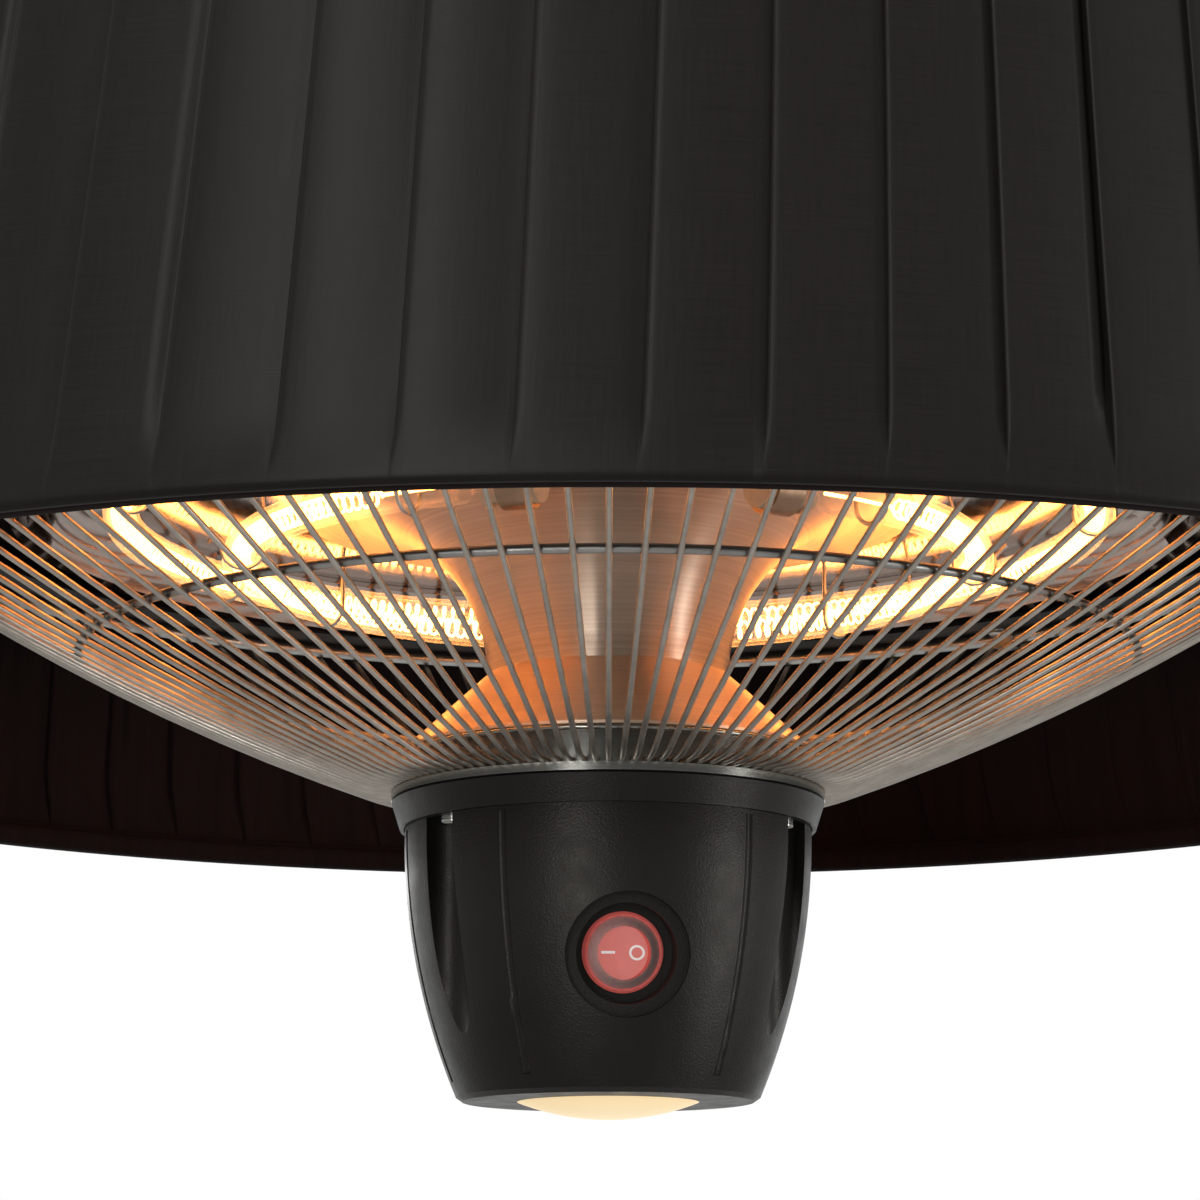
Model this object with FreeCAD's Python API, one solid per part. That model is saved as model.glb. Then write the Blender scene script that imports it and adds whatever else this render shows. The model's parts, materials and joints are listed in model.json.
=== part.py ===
import FreeCAD
import Part
import math
import os

# Hanging patio heater: a pleated lamp shade hung round a halogen ring heater with a wire guard, and a barrel
# shaped switch housing with a lamp below it. Millimetres, +Z up, origin at the centre of the hanging eye.
# The switch faces -Y. Azimuths are measured from the switch side, positive towards +X.

# Hanging eye
EYE_BORE_RADIUS = 10.0
EYE_BORE_CHAMFER = 0.5
EYE_RIM = 6.5
EYE_THICKNESS = 6.0
EYE_NECK_HEIGHT = 5.0
EYE_NECK_WIDTH = 15.0
EYE_BASE_RADIUS = 11.0
EYE_BASE_HEIGHT = 4.0
EYE_STUD_LENGTH = 18.0

# Support tube that carries every piece, and its nuts
TUBE_RADIUS = 8.0
TUBE_BORE_RADIUS = 5.5
TUBE_TAIL = 3.0
NUT_FLATS = 24.0
NUT_HEIGHT = 8.0

# Shade frame
SPIDER_DROP = 15.0
SPIDER_PLATE = 2.5
SPIDER_HUB_RADIUS = 26.0
SPIDER_ARMS = 3
SPIDER_ARM_WIDTH = 14.0
SPIDER_ARM_THICKNESS = 3.0
RING_WIRE_RADIUS = 2.0
UPRIGHTS = 3
UPRIGHT_AZIMUTH = 8.0
UPRIGHT_RADIUS = 1.5

# Pleated cover
SHADE_BOTTOM_RADIUS = 300.0
SHADE_TOP_RADIUS = 266.0
SHADE_HEIGHT = 260.0
PLEATS = 76
PLEAT_DEPTH = 2.2
PLEAT_FOLD = 0.16
PLEAT_TWIST = 1.9
FABRIC_PANELS = 4
FABRIC_THICKNESS = 1.0
BINDING_THICKNESS = 0.6
BINDING_HEIGHT = 6.5

# Upper casing
CASING_DROP = 112.0
CASING_RADIUS = 215.0
CASING_TOP_RADIUS = 75.0
CASING_HEIGHT = 84.0
CASING_WALL_HEIGHT = 10.0
CASING_SHEET = 1.2
CASING_LIP = 24.0

# Cable gland and terminal block
GLAND_OFFSET = 50.0
GLAND_BORE_RADIUS = 4.0
GLAND_THREAD_RADIUS = 6.0
GLAND_FLATS = 18.0
GLAND_HEX_HEIGHT = 5.0
GLAND_CAP_HEIGHT = 16.0
GLAND_TAIL = 9.0
GLAND_CAP_INSET = 0.5
GLAND_MOUTH = 1.0
GLAND_NUT_HEIGHT = 4.0
BLOCK_OFFSET = -58.0
BLOCK_WIDTH = 46.0
BLOCK_DEPTH = 20.0
BLOCK_HEIGHT = 16.0
BLOCK_PITCH = 9.0
BLOCK_POLES = 5
BLOCK_SCREW_INSET = 5.5
BLOCK_SCREW_RADIUS = 2.0

# Wire guard
GUARD_INSET = 3.0
GUARD_WIRES = 108
GUARD_TURN = 0.8
GUARD_WIRE_RADIUS = 0.8
GUARD_WIRE_END = 56.6
GUARD_FLAT_RADIUS = 60.0
GUARD_HUB_BEND = 30.0
GUARD_HUB_SLOPE = 20.0
GUARD_BOWL_RADIUS = 640.0
GUARD_MIDDLE_RADIUS = 145.4
GUARD_OUTER_SET_BACK = 2.5
MIDDLE_RING_RADIUS = 1.25
OUTER_RING_RADIUS = 2.0
HUB_RING_RADIUS = 59.4
HUB_RING_BORE = 52.0
HUB_RING_THICKNESS = 2.2
GUARD_CLIPS = 4
GUARD_CLIP_WIDTH = 7.0
GUARD_CLIP_SHEET = 1.2
CLIP_SCREW_RADIUS = 1.5
CLIP_SCREW_HEAD = 2.8

# Reflector, column, skirt and band
BAND_RADIUS = 55.9
BAND_HEIGHT = 10.5
SKIRT_HEIGHT = 22.2
COLUMN_RADIUS = 32.6
COLUMN_STRAIGHT = 0.5
COLUMN_FLARE = 46.0
COLUMN_FLANGE = 7.0
SPUN_SHEET = 0.8
SKIRT_LIP = 3.0
REFLECTOR_RISE = 5.5
REFLECTOR_CROWN_RADIUS = 140.0
REFLECTOR_RADIUS = 160.0
REFLECTOR_DEPTH = 11.4
REFLECTOR_RIM = 5.0

# Heating tubes: an inner and an outer C, both open towards the switch side
INNER_TUBE_RADIUS = 101.7
INNER_TUBE_DROP = 14.4
INNER_TUBE_END = 27.0
INNER_TUBE_CURLS = 44
OUTER_TUBE_RADIUS = 134.5
OUTER_TUBE_DROP = 3.6
OUTER_TUBE_END = 20.0
OUTER_TUBE_CURLS = 56
GLASS_RADIUS = 5.0
GLASS_WALL = 1.1
PINCH_LENGTH = 12.0
PINCH_THICKNESS = 3.0
PINCH_TAPER = 4.0
PINCH_PLUG = 3.0
FILAMENT_CURL_RADIUS = 2.5
FILAMENT_WIRE_RADIUS = 0.6
FILAMENT_LEAD = 20.0
CAP_RADIUS = 6.2
CAP_LENGTH = 15.0
CAP_COLLAR = 2.0
CAP_WAIST = 0.8
CAP_GRIP = 6.0
HOLDER_SHEET = 1.2
HOLDER_WIDTH = 8.0
HOLDER_FOOT = 9.0
CLIPS_PER_TUBE = 7
CLIP_INSET = 16.0
CLIP_WIRE_RADIUS = 0.6
CLIP_LIP = 2.0
CLIP_TAIL = 3.5
LEAD_RADIUS = 1.1
LEAD_BEND = 5.0

# Switch housing and its collar
COLLAR_RADIUS = 59.2
COLLAR_EDGE_RADIUS = 56.9
COLLAR_HEIGHT = 7.8
COLLAR_PLATE = 3.0
HOUSING_RADIUS = 55.6
HOUSING_BOTTOM_RADIUS = 40.6
HOUSING_HEIGHT = 78.4
HOUSING_STRAIGHT = 6.0
HOUSING_WALL = 2.5
HOUSING_EDGE = 1.2
FLUTES = 3
FLUTE_RADIUS = 6.5
FLUTE_CENTER = 53.2
FLUTE_WALL = 2.0
FLUTE_SHELF = 5.0
GROOVE_AZIMUTH = 24.0
GROOVE_WIDTH = 2.6
GROOVE_DEPTH = 0.6
HOUSING_SCREW_CENTER = 50.5
HOUSING_SCREW_RADIUS = 1.9
HOUSING_SCREW_HEAD = 3.6
HOUSING_SCREW_HEAD_HEIGHT = 2.4

# Round switch in its well
SWITCH_DROP = 44.0
SWITCH_TILT = 8.0
WELL_RADIUS = 16.4
WELL_STEP_DEPTH = 5.5
WELL_INNER_RADIUS = 13.2
WELL_DEPTH = 16.0
WELL_WALL = 2.0
BEZEL_RADIUS = 10.7
BEZEL_HEIGHT = 1.8
BEZEL_EDGE = 0.5
BEZEL_OPENING = 9.3
BARREL_RADIUS = 10.0
BARREL_LENGTH = 17.0
BARREL_CAVITY_RADIUS = 8.0
BARREL_CAVITY_DEPTH = 8.0
ROCKER_RADIUS = 7.2
ROCKER_RISE = 6.0
ROCKER_FALL = 1.5
ROCKER_DISH = 24.0
ROCKER_TILT = 8.0
PIVOT_DEPTH = 3.0
PIVOT_RADIUS = 1.2
PIVOT_CLEARANCE = 0.05
SWITCH_CAP_TOP_RADIUS = 7.6
SWITCH_CAP_FOOT_RADIUS = 9.5
SWITCH_CAP_HEIGHT = 4.0
SWITCH_CAP_WALL = 0.6
TERMINAL_WIDTH = 4.8
TERMINAL_LENGTH = 7.0
TERMINAL_SHEET = 0.8
TERMINAL_SPACING = 5.0

# Lamp in the housing's floor
LENS_RADIUS = 24.5
LENS_SAG = 4.6
LENS_WALL = 2.0
LENS_FLANGE = 3.0
LENS_FLANGE_HEIGHT = 2.0
RETAINER_RADIUS = 33.0
RETAINER_BORE = 22.5
RETAINER_HEIGHT = 3.0
BOARD_RADIUS = 27.0
BOARD_THICKNESS = 1.6
CHIPS = 6
CHIP_RING_RADIUS = 13.0
CHIP_RADIUS = 2.5
CHIP_HEIGHT = 1.0
LAMP_SCREWS = 3
LAMP_SCREW_CENTER = 30.4
LAMP_SCREW_RADIUS = 1.4
LAMP_SCREW_HEAD = 2.6
LAMP_SCREW_HEAD_HEIGHT = 1.8
LAMP_LEAD_RADIUS = 0.9
SCREW_EDGE = 0.6

# Clearances
HOLE_CLEARANCE = 0.3
FIT_CLEARANCE = 0.1
SEAT_GAP = 0.05
SOFT_GAP = 0.3

V = FreeCAD.Vector
ORIGIN = V(0, 0, 0)
UP = V(0, 0, 1)


def sin(degrees):
    return math.sin(math.radians(degrees))


def cos(degrees):
    return math.cos(math.radians(degrees))


def at(azimuth, radius, z):
    """Point at an azimuth from the switch side, a radius and a height."""
    return V(radius * sin(azimuth), -radius * cos(azimuth), z)


def turned(shape, azimuth):
    """Copy of a shape drawn on the switch side, turned round the axis."""
    copy = shape.copy()
    copy.rotate(ORIGIN, UP, azimuth)
    return copy


def ring_of(shape, count, start=0.0):
    """Even pattern of copies round the axis."""
    return [turned(shape, start + i * 360.0 / count) for i in range(count)]


def outline(*steps):
    """Closed face in the XZ plane. A step is a point (r, z), or (mid, end) for an arc."""
    edges = []
    first = V(steps[0][0], 0, steps[0][1])
    here = first
    for step in steps[1:] + (steps[0],):
        if isinstance(step[0], tuple):
            middle = V(step[0][0], 0, step[0][1])
            there = V(step[1][0], 0, step[1][1])
            edges.append(Part.Arc(here, middle, there).toShape())
        else:
            there = V(step[0], 0, step[1])
            if (there - here).Length < 1e-7:
                continue
            edges.append(Part.makeLine(here, there))
        here = there
    return Part.Face(Part.Wire(edges))


def spun(*steps):
    """Solid of revolution about the Z axis."""
    return outline(*steps).revolve(ORIGIN, UP, 360)


def cylinder(radius, z_low, z_high, x=0.0, y=0.0):
    return Part.makeCylinder(radius, z_high - z_low, V(x, y, z_low))


def washer(radius, bore, z_low, z_high):
    return spun((bore, z_low), (radius, z_low), (radius, z_high), (bore, z_high))


def hexagon(flats, z_low, height, x=0.0, y=0.0):
    corner = flats / math.sqrt(3.0)
    points = [V(x + corner * cos(60 * i), y + corner * sin(60 * i), z_low) for i in range(7)]
    return Part.Face(Part.makePolygon(points)).extrude(V(0, 0, height))


def hex_nut(flats, bore, z_low, height, x=0.0, y=0.0):
    """Nut with its corners turned off on both faces."""
    corner = flats / math.sqrt(3.0)
    drop = (corner - flats / 2.0) * math.tan(math.radians(30))
    body = spun(
        (bore, 0), (flats / 2.0, 0), (corner, drop), (corner, height - drop), (flats / 2.0, height),
        (bore, height),
    )
    body.translate(V(x, y, z_low))
    return body.common(hexagon(flats, z_low, height, x, y))


def tube_along(edges, radius):
    """Round bar along a path of lines and tangent arcs."""
    path = Part.Wire(edges)
    start = edges[0]
    point = start.valueAt(start.FirstParameter)
    tangent = start.tangentAt(start.FirstParameter)
    section = Part.Wire(Part.makeCircle(radius, point, tangent))
    return path.makePipeShell([section], True, False)


def bent_path(points, radius):
    """Straight runs between points, with a tangent arc of one radius at each inner point."""
    edges = []
    here = points[0]
    for i in range(1, len(points) - 1):
        corner = points[i]
        back = (points[i - 1] - corner).normalize()
        ahead = (points[i + 1] - corner).normalize()
        half = back.getAngle(ahead) / 2.0
        reach = radius / math.tan(half)
        enter = corner + back * reach
        leave = corner + ahead * reach
        inward = (back + ahead).normalize()
        middle = corner + inward * (radius / math.sin(half) - radius)
        edges.append(Part.makeLine(here, enter))
        edges.append(Part.Arc(enter, middle, leave).toShape())
        here = leave
    edges.append(Part.makeLine(here, points[-1]))
    return edges


# Heights of the stack, from the eye downwards
guard_radius = CASING_RADIUS - GUARD_INSET
eye_radius = EYE_BORE_RADIUS + EYE_RIM
tube_top = -(eye_radius + EYE_NECK_HEIGHT + EYE_BASE_HEIGHT)
hub_plate_top = tube_top - SPIDER_DROP
arm_top = hub_plate_top - SPIDER_PLATE
top_ring_z = arm_top + SEAT_GAP + RING_WIRE_RADIUS
shade_top = top_ring_z + RING_WIRE_RADIUS + SOFT_GAP + BINDING_THICKNESS
shade_bottom = shade_top - SHADE_HEIGHT
bottom_ring_z = shade_bottom + BINDING_THICKNESS + SOFT_GAP + RING_WIRE_RADIUS
casing_top = hub_plate_top - CASING_DROP
casing_rim = casing_top - CASING_HEIGHT
outer_ring_z = casing_rim - SOFT_GAP - OUTER_RING_RADIUS


def guard_point(radius):
    """Height above the wire's flat end, and slope, of the guard's bowl at a radius."""
    bend_end = GUARD_FLAT_RADIUS + GUARD_HUB_BEND * sin(GUARD_HUB_SLOPE)
    bend_rise = GUARD_HUB_BEND * (1.0 - cos(GUARD_HUB_SLOPE))
    slope = math.degrees(math.asin(sin(GUARD_HUB_SLOPE) + (radius - bend_end) / GUARD_BOWL_RADIUS))
    return bend_rise + GUARD_BOWL_RADIUS * (cos(GUARD_HUB_SLOPE) - cos(slope)), slope


def ring_seat(radius, ring_radius):
    """Centre (radius, height) of a round ring that lies on the inner side of the guard wires."""
    height, slope = guard_point(radius)
    lift = GUARD_WIRE_RADIUS + SEAT_GAP + ring_radius
    return radius - lift * sin(slope), height + lift * cos(slope)


outer_ring_r, outer_ring_rise = ring_seat(guard_radius - GUARD_OUTER_SET_BACK, OUTER_RING_RADIUS)
middle_ring_r, middle_ring_rise = ring_seat(GUARD_MIDDLE_RADIUS, MIDDLE_RING_RADIUS)
guard_base = outer_ring_z - outer_ring_rise
hub_ring_top = guard_base - GUARD_WIRE_RADIUS - SEAT_GAP
collar_top = hub_ring_top - HUB_RING_THICKNESS
collar_under = collar_top - COLLAR_PLATE
band_top = hub_ring_top + BAND_HEIGHT
skirt_top = band_top + SKIRT_HEIGHT
ceiling = skirt_top + COLUMN_STRAIGHT + COLUMN_FLARE
reflector_flat = COLUMN_RADIUS + COLUMN_FLARE + COLUMN_FLANGE
housing_bottom = collar_under - HOUSING_HEIGHT
tube_hole = TUBE_RADIUS + HOLE_CLEARANCE
nut_bore = TUBE_RADIUS + SEAT_GAP
nut_corner = NUT_FLATS / math.sqrt(3.0)


def make_hanging_eye():
    """Flat eye with rounded outer edge, on a neck, a round base and a stud."""
    half = EYE_THICKNESS / 2.0
    flat = half - EYE_BORE_CHAMFER
    bore = EYE_BORE_RADIUS
    section = outline(
        (bore, -flat), (bore + EYE_BORE_CHAMFER, -half), (eye_radius - half, -half),
        ((eye_radius, 0.0), (eye_radius - half, half)),
        (bore + EYE_BORE_CHAMFER, half), (bore, flat),
    )
    ring = section.revolve(ORIGIN, UP, 360)
    ring.rotate(ORIGIN, V(1, 0, 0), 90)
    base_top = tube_top + EYE_BASE_HEIGHT
    neck_top = -bore - EYE_RIM / 2.0
    neck = Part.makeBox(
        EYE_NECK_WIDTH, EYE_THICKNESS, neck_top - base_top, V(-EYE_NECK_WIDTH / 2.0, -half, base_top)
    )
    neck = neck.cut(Part.makeCylinder(bore + EYE_RIM / 4.0, EYE_THICKNESS, V(0, -half, 0), V(0, 1, 0)))
    stud_radius = TUBE_BORE_RADIUS - FIT_CLEARANCE
    base = cylinder(EYE_BASE_RADIUS, tube_top, base_top)
    stud = cylinder(stud_radius, tube_top - EYE_STUD_LENGTH, tube_top)
    return ring.fuse([neck, base, stud]).removeSplitter()


def lead_height():
    """Height of the leads above the reflector: clear of the nut that clamps it."""
    return ceiling + SPUN_SHEET + NUT_HEIGHT + 2.0 * LEAD_RADIUS


def make_support_tube():
    """Tube from the eye to the switch housing, with a side hole where the lead enters it."""
    bottom = collar_under - NUT_HEIGHT - TUBE_TAIL
    tube = washer(TUBE_RADIUS, TUBE_BORE_RADIUS, bottom, tube_top)
    hole_center = V(0, 0, lead_height() - LEAD_RADIUS)
    hole = Part.makeCylinder(2.0 * LEAD_RADIUS + FIT_CLEARANCE, 2.0 * TUBE_RADIUS, hole_center, V(0, -1, 0))
    return tube.cut(hole)


def make_support_nuts():
    """Nut pairs that clamp the spider, the casing and the reflector, and one under the collar."""
    below = [
        arm_top - NUT_HEIGHT,
        casing_top - CASING_SHEET - NUT_HEIGHT,
        ceiling - NUT_HEIGHT,
        collar_under - NUT_HEIGHT,
    ]
    above = [hub_plate_top, casing_top, ceiling + SPUN_SHEET]
    return [hex_nut(NUT_FLATS, nut_bore, z, NUT_HEIGHT) for z in below + above]


def shade_radius(z):
    """Outer fold radius of the cover at a height."""
    share = (z - shade_bottom) / SHADE_HEIGHT
    return SHADE_BOTTOM_RADIUS + (SHADE_TOP_RADIUS - SHADE_BOTTOM_RADIUS) * share


def frame_radius(z):
    """Radius of the frame wires' centre line, inside the folds of the cover."""
    return shade_radius(z) - PLEAT_DEPTH - FABRIC_THICKNESS - SOFT_GAP - RING_WIRE_RADIUS


def make_spider_hub():
    return washer(SPIDER_HUB_RADIUS, tube_hole, arm_top, hub_plate_top)


def make_spider_arms():
    """Flat arms under the hub plate that reach to the top ring. One points at the switch side."""
    start = nut_corner + HOLE_CLEARANCE
    end = frame_radius(top_ring_z)
    arm = Part.makeBox(
        SPIDER_ARM_WIDTH, end - start, SPIDER_ARM_THICKNESS,
        V(-SPIDER_ARM_WIDTH / 2.0, -end, arm_top - SPIDER_ARM_THICKNESS),
    )
    return ring_of(arm, SPIDER_ARMS)


def make_wire_ring(radius, z, wire_radius):
    return Part.makeTorus(radius, wire_radius, V(0, 0, z))


def make_shade_uprights():
    """Straight wires between the two shade rings, beside the spider's arms."""
    low = V(0, -frame_radius(bottom_ring_z), bottom_ring_z)
    high = V(0, -frame_radius(top_ring_z), top_ring_z)
    along = (high - low).normalize()
    seat = RING_WIRE_RADIUS + SEAT_GAP
    length = (high - low).Length - 2.0 * seat
    upright = Part.makeCylinder(UPRIGHT_RADIUS, length, low + along * seat, along)
    return ring_of(upright, UPRIGHTS, UPRIGHT_AZIMUTH)


def pleat_section(z, turn, first, last):
    """Closed outline of some knife pleats at a height: each fold jumps out, then falls to the next one."""
    step = 360.0 / PLEATS
    fold = shade_radius(z)
    angles = []
    radii = []
    for i in range(first, last):
        angles.extend([i * step, (i + PLEAT_FOLD) * step])
        radii.extend([fold - PLEAT_DEPTH, fold])
    angles.append(last * step)
    radii.append(fold - PLEAT_DEPTH)
    outer = [at(a + turn, r, z) for a, r in zip(angles, radii)]
    inner = [at(a + turn, r - FABRIC_THICKNESS, z) for a, r in zip(angles, radii)]
    loop = outer + inner[::-1] + outer[:1]
    return Part.makePolygon(loop)


def make_shade_fabric():
    """Pleated cover in panels that meet under a fold. The folds lean a little round the shade."""
    low = shade_bottom + BINDING_THICKNESS + SOFT_GAP
    high = shade_top - BINDING_THICKNESS - SOFT_GAP
    panels = []
    for i in range(FABRIC_PANELS):
        first = i * PLEATS // FABRIC_PANELS
        last = (i + 1) * PLEATS // FABRIC_PANELS
        bottom = pleat_section(low, -PLEAT_TWIST / 2.0, first, last)
        top = pleat_section(high, PLEAT_TWIST / 2.0, first, last)
        panels.append(Part.makeLoft([bottom, top], True, True))
    return panels


def make_binding(edge, sign, inner_height):
    """U shaped tape round the edge of the cover and its ring wire."""
    t = BINDING_THICKNESS

    def leg(inset, rise):
        z = edge + sign * rise
        return shade_radius(z) - inset, z

    out = -SOFT_GAP - t
    back = PLEAT_DEPTH + FABRIC_THICKNESS + 2.0 * SOFT_GAP + 2.0 * RING_WIRE_RADIUS
    return spun(
        leg(out, BINDING_HEIGHT), leg(out, t), leg(out + t, 0.0), leg(back, 0.0), leg(back + t, t),
        leg(back + t, inner_height), leg(back, inner_height), leg(back, t), leg(-SOFT_GAP, t),
        leg(-SOFT_GAP, BINDING_HEIGHT),
    )


def make_upper_casing():
    """Domed sheet casing with a flat top, a short upright wall and a lip turned in at the rim."""
    t = CASING_SHEET
    rim = CASING_RADIUS
    wide = CASING_RADIUS - CASING_TOP_RADIUS
    high = CASING_HEIGHT - CASING_WALL_HEIGHT
    dome = (wide * wide + high * high) / (2.0 * high)
    center_z = casing_top - dome
    end = math.degrees(math.asin(wide / dome))
    inner = dome - t
    inner_end = math.degrees(math.asin((wide - t) / inner))

    def on(radius, angle):
        return CASING_TOP_RADIUS + radius * sin(angle), center_z + radius * cos(angle)

    casing = spun(
        (tube_hole, casing_top), (CASING_TOP_RADIUS, casing_top),
        (on(dome, end / 2.0), on(dome, end)),
        (rim, casing_rim), (rim - CASING_LIP, casing_rim), (rim - CASING_LIP, casing_rim + t),
        (rim - t, casing_rim + t), on(inner, inner_end),
        (on(inner, inner_end / 2.0), (CASING_TOP_RADIUS, casing_top - t)),
        (tube_hole, casing_top - t),
    )
    gland_hole = cylinder(
        GLAND_THREAD_RADIUS + HOLE_CLEARANCE, casing_top - 2.0 * t, casing_top + t, 0.0, GLAND_OFFSET
    )
    screw_hole = cylinder(
        CLIP_SCREW_RADIUS + HOLE_CLEARANCE, casing_rim - t, casing_rim + 2.0 * t, 0.0, -clip_screw_center()
    )
    holes = [turned(screw_hole, a) for a in clip_azimuths()]
    return casing.cut([gland_hole] + holes)


def make_cable_gland():
    """Gland with a hexagon, a rounded cap and a threaded tail, bored through for the cable."""
    cap = GLAND_FLATS / 2.0 - GLAND_CAP_INSET
    hex_top = casing_top + GLAND_HEX_HEIGHT
    top = hex_top + GLAND_CAP_HEIGHT
    mouth = GLAND_BORE_RADIUS + GLAND_MOUTH
    body = spun(
        (GLAND_BORE_RADIUS, casing_top - GLAND_TAIL), (GLAND_THREAD_RADIUS, casing_top - GLAND_TAIL),
        (GLAND_THREAD_RADIUS, casing_top), (cap, casing_top), (cap, top - cap + mouth),
        ((mouth + (cap - mouth) * cos(45), top - (cap - mouth) * (1.0 - sin(45))), (mouth, top)),
        (GLAND_BORE_RADIUS, top),
    )
    body.translate(V(0, GLAND_OFFSET, 0))
    flats = hexagon(GLAND_FLATS, casing_top, GLAND_HEX_HEIGHT, 0.0, GLAND_OFFSET)
    flats = flats.cut(cylinder(GLAND_THREAD_RADIUS, casing_top, hex_top, 0.0, GLAND_OFFSET))
    return body.fuse(flats).removeSplitter()


def make_gland_lock_nut():
    z = casing_top - CASING_SHEET - GLAND_NUT_HEIGHT
    return hex_nut(GLAND_FLATS, GLAND_THREAD_RADIUS + SEAT_GAP, z, GLAND_NUT_HEIGHT, 0.0, GLAND_OFFSET)


def make_terminal_block():
    """Ceramic block with a row of wire passages and a screw shaft over each end of them."""
    z = ceiling + SPUN_SHEET
    y = BLOCK_OFFSET - BLOCK_DEPTH / 2.0
    block = Part.makeBox(BLOCK_WIDTH, BLOCK_DEPTH, BLOCK_HEIGHT, V(-BLOCK_WIDTH / 2.0, y, z))
    cuts = []
    for i in range(BLOCK_POLES):
        x = (i - (BLOCK_POLES - 1) / 2.0) * BLOCK_PITCH
        passage = V(x, y, lead_height())
        cuts.append(Part.makeCylinder(LEAD_RADIUS + HOLE_CLEARANCE, BLOCK_DEPTH, passage, V(0, 1, 0)))
        for screw_y in (y + BLOCK_SCREW_INSET, y + BLOCK_DEPTH - BLOCK_SCREW_INSET):
            cuts.append(cylinder(BLOCK_SCREW_RADIUS, lead_height(), z + BLOCK_HEIGHT, x, screw_y))
    return block.cut(cuts)


def make_guard_wire():
    """One radial wire: flat end on the hub ring, a bend, then the bowl's long arc."""
    z = guard_base
    bend_end = GUARD_FLAT_RADIUS + GUARD_HUB_BEND * sin(GUARD_HUB_SLOPE)
    half = GUARD_HUB_SLOPE / 2.0
    bend_half = (GUARD_FLAT_RADIUS + GUARD_HUB_BEND * sin(half), GUARD_HUB_BEND * (1.0 - cos(half)))
    bend_rise = guard_point(bend_end)[0]
    middle = (bend_end + guard_radius) / 2.0
    points = [
        V(0, -GUARD_WIRE_END, z),
        V(0, -GUARD_FLAT_RADIUS, z),
        V(0, -bend_half[0], z + bend_half[1]),
        V(0, -bend_end, z + bend_rise),
        V(0, -middle, z + guard_point(middle)[0]),
        V(0, -guard_radius, z + guard_point(guard_radius)[0]),
    ]
    edges = [
        Part.makeLine(points[0], points[1]),
        Part.Arc(points[1], points[2], points[3]).toShape(),
        Part.Arc(points[3], points[4], points[5]).toShape(),
    ]
    return tube_along(edges, GUARD_WIRE_RADIUS)


def clip_azimuths():
    """Azimuths of the guard clips: each in the gap between two wires."""
    step = 360.0 / GUARD_WIRES
    wanted = [(i + 0.5) * 360.0 / GUARD_CLIPS for i in range(GUARD_CLIPS)]
    return [GUARD_TURN + (math.floor((a - GUARD_TURN) / step) + 0.5) * step for a in wanted]


def clip_throat():
    """Inner radius of the hook that takes the outer ring."""
    return outer_ring_r - OUTER_RING_RADIUS - SOFT_GAP


def clip_screw_center():
    return clip_throat() - GUARD_CLIP_SHEET - CLIP_SCREW_HEAD - HOLE_CLEARANCE


def make_guard_clip():
    """Bent strip that hooks the outer ring up against the casing's lip."""
    t = GUARD_CLIP_SHEET
    gap = SOFT_GAP
    ring_out = outer_ring_r + OUTER_RING_RADIUS + gap
    ring_in = clip_throat()
    low = outer_ring_z - OUTER_RING_RADIUS - gap
    tongue_end = clip_screw_center() - CLIP_SCREW_HEAD - HOLE_CLEARANCE
    under = casing_rim
    face = outline(
        (tongue_end, under), (ring_in, under), (ring_in, low), (ring_out, low), (ring_out, outer_ring_z),
        (ring_out + t, outer_ring_z), (ring_out + t, low - t), (ring_in - t, low - t),
        (ring_in - t, under - t), (tongue_end, under - t),
    )
    strip = face.extrude(V(0, GUARD_CLIP_WIDTH, 0))
    strip.translate(V(0, -GUARD_CLIP_WIDTH / 2.0, 0))
    strip.rotate(ORIGIN, UP, -90)
    return strip


def make_column():
    """Trumpet: a short straight foot that flares into a flat flange under the reflector."""
    t = SPUN_SHEET
    foot = skirt_top
    flare_z = foot + COLUMN_STRAIGHT
    wide = COLUMN_RADIUS + COLUMN_FLARE
    outer = COLUMN_FLARE
    inner = COLUMN_FLARE - t
    return spun(
        (COLUMN_RADIUS, foot), (COLUMN_RADIUS, flare_z),
        ((wide - outer * cos(45), flare_z + outer * sin(45)), (wide, ceiling)),
        (wide + COLUMN_FLANGE, ceiling), (wide + COLUMN_FLANGE, ceiling - t), (wide, ceiling - t),
        ((wide - inner * cos(45), flare_z + inner * sin(45)), (COLUMN_RADIUS + t, flare_z)),
        (COLUMN_RADIUS + t, foot),
    )


def make_skirt():
    """Cone under the column, with a flat lip at the top and a flat flange on the band."""
    t = SPUN_SHEET
    top = COLUMN_RADIUS + t
    foot = BAND_RADIUS + t
    return spun(
        (top - SKIRT_LIP, skirt_top), (top, skirt_top), (foot, band_top + t), (foot, band_top),
        (foot - SKIRT_LIP, band_top), (foot - SKIRT_LIP, band_top + t), (top - t, skirt_top - t),
        (top - SKIRT_LIP, skirt_top - t),
    )


def make_band():
    """Polished band with a small bead at its top edge."""
    t = 2.0 * SPUN_SHEET
    bead = SPUN_SHEET
    return spun(
        (BAND_RADIUS - t, hub_ring_top), (BAND_RADIUS, hub_ring_top), (BAND_RADIUS, band_top - 2.0 * bead),
        ((BAND_RADIUS + bead, band_top - bead), (BAND_RADIUS, band_top)), (BAND_RADIUS - t, band_top),
    )


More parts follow.
